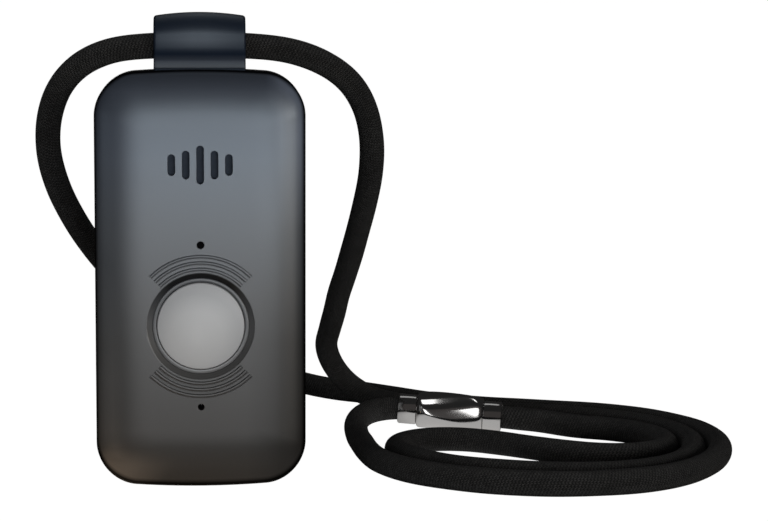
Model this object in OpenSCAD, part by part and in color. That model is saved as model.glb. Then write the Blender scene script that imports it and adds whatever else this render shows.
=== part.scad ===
// Medical alert pendant on a breakaway neck lanyard, sizes in millimetres.
// X runs to the right, Y runs away from the viewer, Z runs up, and the front face looks along minus Y.

/* [Body] */
// Width of the moulded body
body_w = 42; // [38:0.5:48]
// Height of the moulded body, without the bail
body_h = 83.8; // [82:0.1:90]
// Half of the whole depth, from the front ribs to the back
half_depth = 7.55; // [7.4:0.05:8.2]
// Radius of the four corners of the outline
corner_r = 8; // [7.5:0.05:9.5]
// Rise of the slightly bowed top and bottom edges
crown_h = 1.2; // [0.8:0.1:1.4]
// Wall thickness of the two shells
wall = 1.6; // [1.4:0.1:1.8]
// Width of the soft front edge, seen from the front
edge_w = 6; // [5:0.25:6.5]
// Depth of the soft front edge
edge_d = 4; // [3:0.25:4.25]
// Width of the rear edge rounding
back_edge_w = 4; // [3:0.25:4.5]
// Depth of the rear edge rounding
back_edge_d = 3; // [2.5:0.25:3.25]

/* [Button] */
// Radius of the domed call button
button_r = 8.7; // [8:0.1:9.2]
// Distance of the button centre below the middle of the body
button_drop = 8.95; // [7:0.05:9.5]
// Rise of the button dome
dome_h = 0.8; // [0.5:0.1:1]
// Travel of the button when it is pressed
button_travel = 0.7; // [0.4:0.05:0.8]
// Radial clearance between the button and its collar
button_gap = 0.1; // [0.06:0.02:0.2]
// Width of the collar round the button
collar_w = 0.8; // [0.6:0.05:1]
// Width of the sloping side of the dished recess
dish_w = 1; // [0.8:0.1:1.2]
// Depth of the dished recess
dish_d = 0.8; // [0.6:0.1:0.9]

/* [Face] */
// Raised height of the tactile ribs
rib_h = 0.25; // [0.15:0.05:0.4]
// Width of one tactile rib
rib_w = 0.65; // [0.5:0.05:0.8]
// Distance from one rib to the next
rib_pitch = 1.28; // [1.1:0.02:1.5]
// Radius of the innermost rib
rib_r = 11.45; // [11.4:0.05:11.8]
// Angle from the vertical to each end of a rib
rib_half_angle = 45; // [35:1:50]
// Width of one sound slot
slot_w = 1.46; // [1.2:0.02:1.8]
// Distance from one sound slot to the next
slot_pitch = 2.84; // [2.6:0.01:3.1]
// Length of the middle sound slot
slot_long = 7.6; // [7:0.1:9]
// Length of the second and fourth sound slots
slot_mid = 5.6; // [5:0.1:6.5]
// Length of the outer sound slots
slot_short = 4.2; // [3.5:0.1:5]
// Distance of the row of sound slots below the top of the body
slot_drop = 18.65; // [18:0.05:20]
// Radius of the lamp hole above the button
lamp_r = 0.73; // [0.6:0.01:0.9]
// Radius of the microphone hole below the button
mic_r = 0.63; // [0.5:0.01:0.8]
// Distance of both small holes from the button centre
hole_reach = 16.25; // [16.2:0.05:17]

/* [Bail] */
// Width of the bail
bail_w = 18.3; // [16:0.1:20]
// Width of the bail's foot inside the body
foot_w = 14; // [12:0.5:15]
// Thickness of the bail round the eye
bail_wall = 1.5; // [1.2:0.1:1.8]
// Height of the lanyard's centre above the body
eye_rise = 4.5; // [4.3:0.1:5]
// Extra height of the eye above the lanyard
eye_slack = 2.45; // [1.5:0.05:3]
// Clearance between the lanyard and the eye
eye_gap = 0.3; // [0.2:0.05:0.4]
// Radius of the bail's arched top
arch_r = 56; // [50:1:80]

/* [Lanyard] */
// Diameter of the knitted lanyard
cord_d = 5; // [4.6:0.1:5.1]
// Outer radius of the clasp's end rings
ring_r = 3.3; // [3.15:0.05:3.5]
// Length of each end ring
ring_l = 4.15; // [4:0.05:5]
// Length of the twisted barrel
barrel_l = 14.7; // [14:0.1:16]
// Reach of the barrel's three ridges from the axis
ridge_r = 4.6; // [4.4:0.05:4.7]
// Distance of the barrel's flats from the axis
flat_r = 3.7; // [3.5:0.05:3.9]
// Turn of the barrel from end to end
barrel_turn = 60; // [40:5:120]
// Where the barrel's section starts, in degrees about its axis
barrel_start = -35; // [-60:5:0]
// Length over which the barrel draws in at each end
barrel_taper = 2.4; // [1.6:0.1:3]
// Travel of the plug when the clasp is pulled open
clasp_travel = 6; // [4:0.5:6.5]

/* [Hidden] */
$fn = 64;

// Planes across the depth
face_y = -(half_depth - rib_h);
back_y = half_depth;
inner_front_y = face_y + wall + 0.2;
inner_back_y = back_y - wall;
part_y = 1;
board_y = 0.9;
board_t = 1;
board_back = board_y + board_t;

// Small clearances that the fits share
snug = 0.05;
pin_gap = 0.03;

// Heights of the button and of the row of slots
button_z = body_h / 2 - button_drop;
slot_z = body_h - slot_drop;

// Points round the outline
arc_n = 8;
crown_x = [0.24, 0.48, 0.72, 0.9];

// Outline of the body in the plane of X and Z, drawn in by the given distance
function edge_x(inset) = body_w / 2 - inset;
function round_r(inset) = corner_r - inset;
function crown(x) = crown_h * (1 - pow(max(abs(x), crown_x[0] * (body_w / 2 - corner_r)) / (body_w / 2), 2));
function flat_z(inset) = body_h / 2 - crown(0) - inset;
function corner_pts(inset, sx, sz, a0) = [for (k = [0:arc_n])
    let (a = a0 + 90 * k / arc_n, r = round_r(inset))
    [sx * (edge_x(inset) - r) + r * cos(a), sz * (flat_z(inset) - r) + r * sin(a)]];
function bar_pts(inset, sz) = [for (s = [-1, 1]) for (k = [0:3])
    let (f = s < 0 ? crown_x[3 - k] : crown_x[k], r = round_r(inset))
    [-sz * s * f * (edge_x(inset) - r), sz * flat_z(inset)]];
function flat_outline(inset) = concat(corner_pts(inset, 1, 1, 0), bar_pts(inset, 1), corner_pts(inset, -1, 1, 90),
    corner_pts(inset, -1, -1, 180), bar_pts(inset, -1), corner_pts(inset, 1, -1, 270));
function outline(inset) = [for (p = flat_outline(inset)) [p[0], body_h / 2 + p[1] + sign(p[1]) * crown(p[0])]];

// Loft through outlines: each level is a pair of depth and inset
function loft_pts(levels) = [for (l = levels) for (p = outline(l[1])) [p[0], l[0], p[1]]];
function loft_faces(m, n) = concat(
    [for (i = [0:m - 2]) for (k = [0:n - 1]) let (j = (k + 1) % n) [i * n + k, i * n + j, (i + 1) * n + j]],
    [for (i = [0:m - 2]) for (k = [0:n - 1]) let (j = (k + 1) % n) [i * n + k, (i + 1) * n + j, (i + 1) * n + k]],
    [[for (k = [0:n - 1]) n - 1 - k]], [[for (k = [0:n - 1]) (m - 1) * n + k]]);
function front_levels(y, extra, steps) = [for (k = [0:steps]) let (a = 90 * k / steps)
    [y + edge_d * (1 - cos(a)), extra + edge_w * (1 - sin(a))]];
function back_levels(y, extra, steps) = [for (k = [0:steps]) let (a = 90 * k / steps)
    [y - back_edge_d * (1 - sin(a)), extra + back_edge_w * (1 - cos(a))]];
module loft(levels) {
    n = len(outline(0));
    polyhedron(points = loft_pts(levels), faces = loft_faces(len(levels), n), convexity = 4);
}
module outer_form() {
    loft(concat(front_levels(face_y, 0, 6), back_levels(back_y, 0, 4)));
}
module inner_form() {
    loft(concat(front_levels(inner_front_y, wall, 4), back_levels(inner_back_y, wall, 3)));
}
module front_half() {
    translate([-body_w, -half_depth * 2, -body_h]) cube([body_w * 2, half_depth * 2 + part_y, body_h * 3]);
}
module rear_half() {
    translate([-body_w, part_y, -body_h]) cube([body_w * 2, half_depth * 2, body_h * 3]);
}

// Cylinder along Y from one depth to another
module rod(x, z, r, y0, y1, fn = 48) {
    translate([x, y0, z]) rotate([-90, 0, 0]) cylinder(r = r, h = y1 - y0, $fn = fn);
}
module tube(x, z, r_out, r_in, y0, y1, fn = 48) {
    translate([x, y0, z]) rotate([-90, 0, 0]) difference() {
        cylinder(r = r_out, h = y1 - y0, $fn = fn);
        translate([0, 0, -1]) cylinder(r = r_in, h = y1 - y0 + 2, $fn = fn);
    }
}
module box(x0, x1, y0, y1, z0, z1) {
    translate([x0, y0, z0]) cube([x1 - x0, y1 - y0, z1 - z0]);
}

// Where the fasteners stand
shell_screw_inset = 4.8;
shell_screw_z = 7.5;
shell_screw_at = [for (s = [-1, 1]) for (z = [shell_screw_z, body_h - shell_screw_z]) [s * (body_w / 2 - shell_screw_inset), z]];
shell_screw_tip = -2.8;
shell_screw_r = 0.8;
shell_head_r = 1.5;
shell_boss_r = 2.4;
board_screw_inset = 5.2;
board_screw_reach = 17.6;
board_screw_at = [for (s = [-1, 1]) for (e = [-1, 1]) [s * (body_w / 2 - board_screw_inset), button_z + e * board_screw_reach]];
board_screw_r = 0.7;
board_post_r = 1.8;
board_inset = 3.5;
board_x = body_w / 2 - board_inset;
board_low = 4;
foot_h = 8;
foot_low = body_h - foot_h;
clear = 1;
board_high = foot_low - clear;
bail_screw_x = 4.4;
bail_screw_up = 2.6;
foot_d = 3.15;
foot_pocket_h = 3;
board_head_r = 1.3;
board_head_y = -2.6;
board_head_h = 0.7;
switch_half = 3.1;
socket_lead_l = 5;
bail_screw_at = [for (s = [-1, 1]) [s * bail_screw_x, foot_low + bail_screw_up]];
bail_screw_r = 0.7;
bail_y0 = part_y + snug;
bail_y1 = bail_y0 + foot_d;
screw_floor_y = inner_back_y - 0.2;

// The button's own planes
collar_r = button_r + button_gap + collar_w;
dish_r = collar_r + dish_w;
dish_y = face_y + dish_d;
boss_y = inner_front_y + 1.1;
bezel_back = boss_y + 0.8;
bezel_flange_r = collar_r + 1.9;
flange_r = button_r + 0.6;
cap_back = bezel_back + 0.7;
seal_y = cap_back + 0.75;
seal_t = 0.5;
seal_rim_r = collar_r + 1.9;
stem_r = 1.5;
plunger_y = seal_y + seal_t + 0.7;
plunger_r = 1.7;
switch_front = board_y - 1.2;
plunger_l = switch_front - plunger_y + 0.2;
rib_y = face_y - rib_h;

// One rib: a short arc of a flat ring on the face, closed by round ends
module rib(r, a) {
    rotate([0, 0, a]) union() {
        rotate([0, 0, 90 - rib_half_angle]) rotate_extrude(angle = 2 * rib_half_angle, $fn = 72)
            translate([r - rib_w / 2, 0]) square([rib_w, rib_h + 0.3]);
        for (s = [-1, 1]) rotate([0, 0, 90 + s * rib_half_angle]) translate([r, 0, 0])
            cylinder(r = rib_w / 2, h = rib_h + 0.3, $fn = 16);
    }
}
module slot(i) {
    l = abs(i) == 0 ? slot_long : abs(i) == 1 ? slot_mid : slot_short;
    for (s = [-1, 1]) rod(i * slot_pitch, slot_z + s * (l - slot_w) / 2, slot_w / 2, face_y - 1, inner_front_y + 1, 24);
    box(i * slot_pitch - slot_w / 2, i * slot_pitch + slot_w / 2, face_y - 1, inner_front_y + 1,
        slot_z - (l - slot_w) / 2, slot_z + (l - slot_w) / 2);
}
module seal_groove(gap) {
    translate([0, part_y - 0.4 - gap, 0]) rotate([-90, 0, 0]) mirror([0, 1, 0]) linear_extrude(height = 0.8 + 2 * gap)
        difference() {
            polygon(outline(0.5 - gap));
            polygon(outline(1 + gap));
        }
}

module front_shell() {
    color([0.4, 0.42, 0.46]) difference() {
        union() {
            difference() {
                intersection() {
                    outer_form();
                    front_half();
                }
                inner_form();
            }
            rod(0, button_z, bezel_flange_r + 0.7, inner_front_y - 0.2, boss_y, 72);
            for (p = shell_screw_at) rod(p[0], p[1], shell_boss_r, inner_front_y - 0.3, part_y, 32);
            for (p = board_screw_at) rod(p[0], p[1], board_post_r, inner_front_y - 0.3, board_y, 32);
            for (p = bail_screw_at) rod(p[0], p[1], board_post_r, inner_front_y - 0.3, bail_y0 - snug, 32);
            for (a = [0, 180]) for (i = [0:2])
                translate([0, face_y + 0.3, button_z]) rotate([90, 0, 0]) rib(rib_r + i * rib_pitch, a);
        }
        translate([0, dish_y, button_z]) rotate([90, 0, 0]) cylinder(r1 = collar_r, r2 = dish_r, h = dish_d, $fn = 96);
        translate([0, face_y, button_z]) rotate([90, 0, 0]) cylinder(r = dish_r, h = 2, $fn = 96);
        rod(0, button_z, collar_r + snug, face_y - 1, boss_y + 1, 96);
        for (i = [-2:2]) slot(i);
        rod(0, button_z + hole_reach, lamp_r, face_y - 1, inner_front_y + 1, 32);
        rod(0, button_z - hole_reach, mic_r, face_y - 1, inner_front_y + 1, 32);
        for (p = shell_screw_at) rod(p[0], p[1], shell_screw_r + pin_gap, shell_screw_tip - 0.2, part_y + 1, 24);
        for (p = board_screw_at) rod(p[0], p[1], board_screw_r + pin_gap, -2.8, board_y + 1, 24);
        for (p = bail_screw_at) rod(p[0], p[1], bail_screw_r + pin_gap, -2.2, bail_y0 + 1, 24);
        seal_groove(snug);
    }
}
module rear_shell() {
    color([0.2, 0.21, 0.23]) difference() {
        union() {
            difference() {
                intersection() {
                    outer_form();
                    rear_half();
                }
                inner_form();
            }
            for (p = shell_screw_at) rod(p[0], p[1], shell_boss_r, part_y, inner_back_y + 0.3, 32);
        }
        for (p = shell_screw_at) {
            rod(p[0], p[1], shell_screw_r + 0.1, part_y - 1, back_y + 1, 24);
            rod(p[0], p[1], shell_head_r + 0.2, screw_floor_y, back_y + 1, 32);
        }
        for (s = [-1, 1]) rod(s * contact_x, contact_z, contact_hole_r, inner_back_y - 1, back_y + 1, 32);
        box(-foot_w / 2 - 0.1, foot_w / 2 + 0.1, part_y - 1, bail_y1 + 0.1, body_h - wall - foot_pocket_h, body_h + 1);
        seal_groove(snug);
    }
}
module shell_gasket() {
    color([0.1, 0.1, 0.1]) difference() {
        seal_groove(0);
        box(-foot_w / 2 - 0.2, foot_w / 2 + 0.2, part_y - 2, part_y + 2, body_h - 3, body_h + 1);
    }
}
module screw(x, z, r, head_r, y_tip, y_seat, head_h) {
    difference() {
        union() {
            rod(x, z, r, y_tip, y_seat + 0.1, 24);
            rod(x, z, head_r, y_seat, y_seat + head_h, 32);
        }
        for (a = [0, 90]) translate([x, y_seat + head_h, z]) rotate([0, a, 0]) cube([head_r * 1.3, 0.7, 0.3], center = true);
    }
}
module shell_screws() {
    color([0.6, 0.6, 0.62]) for (p = shell_screw_at) screw(p[0], p[1], shell_screw_r, shell_head_r, shell_screw_tip, screw_floor_y, 1);
}
module board_screws() {
    color([0.6, 0.6, 0.62]) for (p = board_screw_at) screw(p[0], p[1], board_screw_r, board_head_r, board_head_y, board_back, board_head_h);
}
module bail_screws() {
    color([0.6, 0.6, 0.62]) for (p = bail_screw_at) screw(p[0], p[1], bail_screw_r, 1.3, -2, bail_y1, 0.7);
}

// The bail: a looped profile turned about an axis far below, so that its top is arched
cord_r = cord_d / 2;
eye_z = body_h + eye_rise;
eye_y = (bail_y0 + bail_y1) / 2;
eye_r = cord_r + eye_gap;
loop_r = eye_r + bail_wall;
eye_top = eye_z + eye_slack;
arch_z = eye_top + loop_r - arch_r;
bail_low = body_h + snug;
// The neck below the loop: its overlap with the foot, its height, its reach in front and behind, and its hollow sides
neck_low = 4;
neck_h = 6;
neck_front = 3.4;
neck_back = 1.6;
neck_round = 2;
neck_round_z = 2.3;
neck_out = 0.2;
module bail_profile() {
    difference() {
        union() {
            translate([eye_top - arch_z, eye_y]) circle(r = loop_r, $fn = 64);
            translate([eye_z - arch_z, eye_y - loop_r]) square([eye_slack, 2 * loop_r]);
            translate([eye_z - arch_z, eye_y]) circle(r = loop_r, $fn = 64);
            difference() {
                translate([bail_low - neck_low - arch_z, bail_y0 - neck_front])
                    square([neck_h, bail_y1 - bail_y0 + neck_front + neck_back]);
                translate([bail_low + neck_round_z - arch_z, bail_y0 - neck_front - neck_out]) circle(r = neck_round, $fn = 48);
                translate([bail_low + neck_round_z - arch_z, bail_y1 + neck_back + neck_out]) circle(r = neck_round, $fn = 48);
            }
        }
        translate([eye_top - arch_z, eye_y]) circle(r = eye_r, $fn = 64);
        translate([eye_z - arch_z, eye_y - eye_r]) square([eye_slack, 2 * eye_r]);
        translate([eye_z - arch_z, eye_y]) circle(r = eye_r, $fn = 64);
    }
}
module lanyard_bail() {
    color([0.12, 0.15, 0.2]) difference() {
        union() {
            intersection() {
                translate([0, 0, arch_z]) rotate([-90, 0, 0]) rotate([0, 0, -90 - 14])
                    rotate_extrude(angle = 28, $fn = 180) bail_profile();
                box(-bail_w / 2, bail_w / 2, -body_w / 2, body_w / 2, bail_low, body_h * 2);
            }
            box(-foot_w / 2, foot_w / 2, bail_y0, bail_y1, foot_low, bail_low + 0.5);
        }
        for (p = bail_screw_at) rod(p[0], p[1], bail_screw_r + 0.1, bail_y0 - 1, bail_y1 + 1, 24);
    }
}

module button_cap() {
    dome_r = (button_r * button_r + dome_h * dome_h) / (2 * dome_h);
    color([0.63, 0.64, 0.65]) translate([0, 0, button_z]) rotate([90, 0, 0]) union() {
        intersection() {
            translate([0, 0, -cap_back]) cylinder(r = button_r, h = cap_back - rib_y, $fn = 96);
            translate([0, 0, -rib_y - 0.05 - dome_r]) sphere(r = dome_r, $fn = 200);
        }
        translate([0, 0, -cap_back]) cylinder(r = flange_r, h = 0.6, $fn = 72);
        translate([0, 0, -seal_y + snug]) cylinder(r = stem_r, h = seal_y - snug - cap_back + 0.1, $fn = 32);
    }
}
module button_bezel() {
    color([0.3, 0.31, 0.33]) union() {
        tube(0, button_z, collar_r, button_r + button_gap, dish_y, bezel_back, 96);
        tube(0, button_z, bezel_flange_r, button_r + button_gap, boss_y, bezel_back, 96);
    }
}
module button_seal() {
    color([0.12, 0.12, 0.13]) union() {
        rod(0, button_z, seal_rim_r, seal_y, seal_y + seal_t, 72);
        tube(0, button_z, seal_rim_r, flange_r + 0.9, bezel_back + snug, seal_y + 0.1, 72);
        rod(0, button_z, stem_r, seal_y, plunger_y - snug, 32);
    }
}
module switch_body() {
    color([0.15, 0.15, 0.16]) difference() {
        box(-switch_half, switch_half, switch_front, board_y, button_z - switch_half, button_z + switch_half);
        rod(0, button_z, plunger_r + pin_gap * 2, switch_front - 1, switch_front + 0.2 + button_travel + 0.1, 32);
    }
}
module switch_plunger() {
    color([0.7, 0.2, 0.15]) rod(0, button_z, plunger_r, plunger_y, plunger_y + plunger_l, 32);
}
module main_board() {
    color([0.1, 0.3, 0.2]) difference() {
        intersection() {
            box(-board_x, board_x, board_y, board_back, board_low, board_high);
            translate([0, board_y - 1, 0]) rotate([-90, 0, 0]) mirror([0, 1, 0]) linear_extrude(height = board_t + 2)
                polygon(outline(wall + snug));
        }
        for (p = shell_screw_at) rod(p[0], p[1], shell_boss_r + 0.4, board_y - 1, board_back + 1, 32);
        for (p = board_screw_at) rod(p[0], p[1], board_screw_r + 0.1, board_y - 1, board_back + 1, 24);
        for (s = [-1, 1]) rod(s * contact_x, contact_z, contact_pin_r + 0.1, board_y - 1, board_back + 1, 24);
    }
}

// What stands on the board and on the back wall
motor_r = 5;
motor_t = 2.7;
motor_x = board_x - motor_r - 2 * clear;
motor_z = board_high - 2 * motor_r;
radio_x0 = -board_x + 3 * clear;
radio_x1 = motor_x - motor_r - 1.5 * clear;
radio_t = 2.2;
radio_h = 18;
radio_low = board_high - clear - radio_h;
patch_w = 12;
patch_t = 3;
strip_inset = 4.5;
strip_x = board_x - strip_inset;
strip_h = 4;
strip_t = 0.3;
module radio_module() {
    color([0.7, 0.71, 0.72]) box(radio_x0, radio_x1, board_back, board_back + radio_t, radio_low, radio_low + radio_h);
}
module vibration_motor() {
    color([0.75, 0.75, 0.76]) rod(motor_x, motor_z, motor_r, board_back, board_back + motor_t, 48);
}
module satellite_antenna() {
    color([0.85, 0.83, 0.78]) box(-patch_w / 2, patch_w / 2, board_y - patch_t, board_y,
        board_low + clear / 2, mic_z - boot_r - 0.7 * clear);
}
module radio_antenna() {
    color([0.8, 0.6, 0.3]) box(-strip_x, strip_x, inner_back_y - strip_t, inner_back_y, radio_low, radio_low + strip_h);
}

// The loudspeaker, in layers from the front wall back
speaker_r = 9;
mesh_t = 0.2;
speaker_gasket_t = 0.7;
speaker_front = inner_front_y + mesh_t + speaker_gasket_t;
speaker_t = 3.4;
speaker_back = speaker_front + speaker_t;
// Outer radius of the cone's middle, and its film
cone_r = 4;
cone_film = 0.4;
module speaker_mesh() {
    color([0.2, 0.22, 0.26]) rod(0, slot_z, speaker_r, inner_front_y, inner_front_y + mesh_t, 48);
}
module speaker_gasket() {
    color([0.1, 0.1, 0.1]) tube(0, slot_z, speaker_r, speaker_r - 1.4, inner_front_y + mesh_t, speaker_front, 48);
}
module speaker_frame() {
    color([0.25, 0.25, 0.27]) difference() {
        rod(0, slot_z, speaker_r, speaker_front, speaker_back, 48);
        rod(0, slot_z, speaker_r - 1, speaker_front - 1, speaker_front + 1.6, 48);
    }
}
module speaker_cone() {
    color([0.18, 0.18, 0.2]) difference() {
        translate([0, speaker_front + 0.3, slot_z]) rotate([-90, 0, 0]) cylinder(r1 = speaker_r - 1.1, r2 = cone_r, h = 1.2, $fn = 48);
        translate([0, speaker_front + 0.1, slot_z]) rotate([-90, 0, 0]) cylinder(r1 = speaker_r - 1.3, r2 = cone_r - cone_film, h = 1.15, $fn = 48);
    }
}

// The two small holes and what stands behind them
lamp_z = button_z + hole_reach;
mic_z = button_z - hole_reach;
lamp_t = 0.7;
mic_t = 1.1;
mic_h = 3;
boot_r = 1.9;
module light_pipe() {
    color([0.1, 0.1, 0.13]) union() {
        rod(0, lamp_z, lamp_r - pin_gap, face_y + 0.05, inner_front_y + 0.1, 32);
        rod(0, lamp_z, lamp_r * 2, inner_front_y, inner_front_y + 0.8, 32);
        rod(0, lamp_z, lamp_r * 1.3, inner_front_y + 0.7, board_y - lamp_t - 0.1, 32);
    }
}
module status_lamp() {
    color([0.9, 0.9, 0.85]) box(-0.8, 0.8, board_y - lamp_t, board_y, lamp_z - 0.8, lamp_z + 0.8);
}
module microphone_boot() {
    color([0.12, 0.12, 0.13]) tube(0, mic_z, boot_r, mic_r, inner_front_y, board_y - mic_t, 32);
}
module microphone() {
    color([0.75, 0.74, 0.7]) difference() {
        box(-boot_r, boot_r, board_y - mic_t, board_y, mic_z - mic_h / 2, mic_z + mic_h / 2);
        rod(0, mic_z, 0.3, board_y - mic_t - 1, board_y - 0.4, 16);
    }
}

// Power: the flat cell on its pad, and two sealed charging contacts in the back
battery_x = board_x - board_inset;
battery_low = 13;
battery_gap = 7.3;
battery_high = radio_low - battery_gap;
pad_t = 0.35;
contact_x = 4;
contact_z = 8;
contact_r = 1.5;
contact_hole_r = 1.9;
contact_pin_r = 0.5;
module battery() {
    color([0.65, 0.67, 0.7]) box(-battery_x, battery_x, board_back + 0.3, inner_back_y - pad_t, battery_low, battery_high);
}
module battery_pad() {
    color([0.25, 0.25, 0.27]) box(-battery_x + 2, battery_x - 2, inner_back_y - pad_t, inner_back_y,
        battery_low + 2, battery_high - 2);
}
module charge_contacts() {
    color([0.85, 0.68, 0.3]) for (s = [-1, 1]) {
        rod(s * contact_x, contact_z, contact_r, inner_back_y - 0.1, back_y - 0.15, 32);
        rod(s * contact_x, contact_z, contact_hole_r + 0.6, inner_back_y - 0.7, inner_back_y, 32);
        rod(s * contact_x, contact_z, contact_pin_r, board_back - 0.4, inner_back_y - 0.6, 24);
    }
}
module contact_seals() {
    color([0.1, 0.1, 0.1]) for (s = [-1, 1])
        tube(s * contact_x, contact_z, contact_hole_r - pin_gap, contact_r + pin_gap, inner_back_y + 0.1, back_y - 0.3, 32);
}

// The clasp lies along its own axis, from the mouth of the plug to the far end of the socket
clasp_at = [43.7, 50.9, 6.1];
clasp_turn = -9;
clasp_dip = 94.04;
clasp_l = 2 * ring_l + barrel_l;
clasp_u = [sin(clasp_dip) * cos(clasp_turn), sin(clasp_dip) * sin(clasp_turn), cos(clasp_dip)];
cord_grip = 3.4;
cord_bore_r = cord_r + snug;
spigot_r = 2.6;
spigot_l = 5;
spigot_gap = 0.05;
magnet_r = 1.9;
magnet_t = 1.5;
module on_clasp() {
    translate(clasp_at) rotate([0, clasp_dip, clasp_turn]) children();
}
module clasp_plug() {
    color([0.75, 0.75, 0.76]) on_clasp() difference() {
        union() {
            cylinder(r = ring_r, h = ring_l, $fn = 64);
            cylinder(r = spigot_r, h = ring_l + spigot_l, $fn = 48);
        }
        translate([0, 0, -1]) cylinder(r = cord_bore_r, h = cord_grip + 1, $fn = 48);
        translate([0, 0, ring_l + spigot_l - magnet_t]) cylinder(r = magnet_r, h = magnet_t + 1, $fn = 32);
    }
}
module plug_magnet() {
    color([0.5, 0.5, 0.52]) on_clasp() translate([0, 0, ring_l + spigot_l - magnet_t])
        cylinder(r = magnet_r - pin_gap, h = magnet_t, $fn = 32);
}
bore_end = ring_l + spigot_l + 0.3;
// Section of the barrel: three large arcs meet in three ridges, which are cut back to a circle
ridge_meet = ridge_r + 0.1;
arc_off = (ridge_meet * ridge_meet - flat_r * flat_r) / (2 * flat_r - ridge_meet);
module barrel_section() {
    intersection() {
        translate([-arc_off, 0]) circle(r = flat_r + arc_off, $fn = 96);
        rotate(120) translate([-arc_off, 0]) circle(r = flat_r + arc_off, $fn = 96);
        rotate(240) translate([-arc_off, 0]) circle(r = flat_r + arc_off, $fn = 96);
        circle(r = ridge_r, $fn = 96);
    }
}
module clasp_socket() {
    color([0.75, 0.75, 0.76]) on_clasp() difference() {
        union() {
            intersection() {
                translate([0, 0, ring_l + spigot_gap])
                    linear_extrude(height = barrel_l - spigot_gap, twist = -barrel_turn, slices = 20, convexity = 4)
                        rotate(barrel_start) barrel_section();
                translate([0, 0, ring_l]) union() {
                    cylinder(r1 = flat_r, r2 = ridge_r + 0.6, h = barrel_taper, $fn = 48);
                    translate([0, 0, barrel_taper]) cylinder(r = ridge_r + 0.6, h = barrel_l - 2 * barrel_taper, $fn = 48);
                    translate([0, 0, barrel_l - barrel_taper]) cylinder(r1 = ridge_r + 0.6, r2 = flat_r, h = barrel_taper, $fn = 48);
                }
            }
            translate([0, 0, ring_l + barrel_l - 1]) cylinder(r = ring_r, h = ring_l + 1, $fn = 64);
        }
        translate([0, 0, -1]) cylinder(r = spigot_r + spigot_gap, h = bore_end + 1, $fn = 48);
        translate([0, 0, bore_end - 1]) cylinder(r = magnet_r, h = magnet_t + 1.1, $fn = 32);
        translate([0, 0, clasp_l - cord_grip]) cylinder(r = cord_bore_r, h = cord_grip + 1, $fn = 48);
    }
}
module socket_magnet() {
    color([0.5, 0.5, 0.52]) on_clasp() translate([0, 0, bore_end]) cylinder(r = magnet_r - pin_gap, h = magnet_t, $fn = 32);
}

// The lanyard: routes through points chosen by hand, each swept as one tube
cord_sides = 8;
table_z = cord_r + 0.1;
route_eye_z = 88.3;
Z = 2.6;
left_leg_at = [[0, 2.6, 88.3], [-9.4, 2.6, 88.3], [-18.4, 4.1, 87.1], [-24.1, 6.7, 84.3], [-28.3, 9.8, 79.7],
    [-30.6, 12.7, 73.7], [-31.1, 15.7, 66.6], [-29.6, 19.3, 59.2], [-26.6, 24.3, 51.8], [-23.2, 30.2, 45.4],
    [-19.6, 36.8, 39.8], [-15.8, 43.9, 34.8], [-11.9, 51.2, 30.4], [-7.9, 58.7, 26.2], [-3.8, 66.1, 22.1],
    [0.6, 73.5, 18.2], [5.2, 80.8, 14.5], [9.8, 88.3, 11.1], [15.2, 95.1, 7.6], [20.9, 98.5, 5.1],
    [26.8, 99.1, 3.4], [32.6, 97.4, Z], [38.2, 93.3, Z]];
outer_loop_at = [[38.2, 93.3, Z], [44.6, 86.5, Z], [51.1, 79.7, Z], [58.6, 74, Z], [67, 69.7, Z],
    [75.8, 66.5, Z], [84.7, 63.3, Z], [93.1, 59, Z], [99.8, 53.3, Z], [105, 46.1, Z], [108.6, 37.8, Z],
    [110.2, 28.9, Z], [110, 19.5, Z], [107.9, 10.3, Z], [104.3, 1.6, Z], [99.2, -6.3, Z], [93.2, -12.2, Z],
    [86.1, -16, Z], [77.8, -18, Z], [68.9, -18, Z], [60.2, -16, Z]];
tail_at = [[60.2, -16, Z], [52.2, -12, Z], [45.1, -6.3, Z], [39.9, 0.5, Z], [36.6, 8.4, Z], [35, 17.6, Z],
    [34.3, 27, Z], [33.6, 36.2, 3.1], [33.9, 43, 4.6], [36.3, 47.3, 5.7], [40, 50.1, 6.1]];
right_leg_at = [[0, 2.6, 88.3], [9.3, 2.7, 88.3], [18.5, 4, 87.2], [25.1, 6.8, 84.7], [30.5, 10.5, 80.7],
    [33.8, 14.3, 75.4], [35.5, 18.4, 68.7], [35.7, 23.5, 61.1], [34.8, 29.4, 53.9], [33.7, 36, 47.4],
    [32.7, 43.2, 41.5], [31.7, 50.7, 36], [30.7, 58.4, 30.8], [30.1, 66.1, 25.5], [29.4, 73.9, 20.5],
    [29, 81.2, 14.9], [30.7, 84, 10.6], [33.9, 84.8, 6.5], [38.2, 83.5, 3.7], [42.7, 80.3, Z]];
inner_loops_at = [[42.7, 80.3, Z], [49, 73.5, Z], [55.7, 68.4, Z], [64.2, 64.5, Z], [73, 61.3, Z],
    [81.7, 57.9, Z], [89.9, 53.4, Z], [96.4, 47.7, Z], [101.1, 40.9, Z], [103.9, 33, Z], [104.8, 24.4, Z],
    [103.6, 15.6, Z], [100.6, 6.7, Z], [96.3, -0.4, Z], [91, -5.2, Z], [84.4, -8.1, Z], [76.4, -8.9, Z],
    [67.3, -7.5, Z], [58.5, -4.4, Z], [51.5, 0, Z], [46.1, 5.8, Z], [42.4, 13.3, Z], [41, 19.5, Z],
    [41.9, 24.9, Z], [45.1, 29.2, Z], [49.9, 31.5, Z], [55.7, 31.1, Z], [62.8, 26.9, Z], [69.8, 20.7, Z],
    [77.1, 14.8, Z], [82.8, 11.9, Z], [88.2, 11.1, Z], [93.4, 12.8, Z], [97.4, 17, Z], [99.2, 23.5, Z],
    [98.5, 30.3, Z], [95.6, 36.4, Z], [90.1, 41.5, Z], [82.6, 45, 2.7], [73.6, 47.1, 3.8]];

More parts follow.
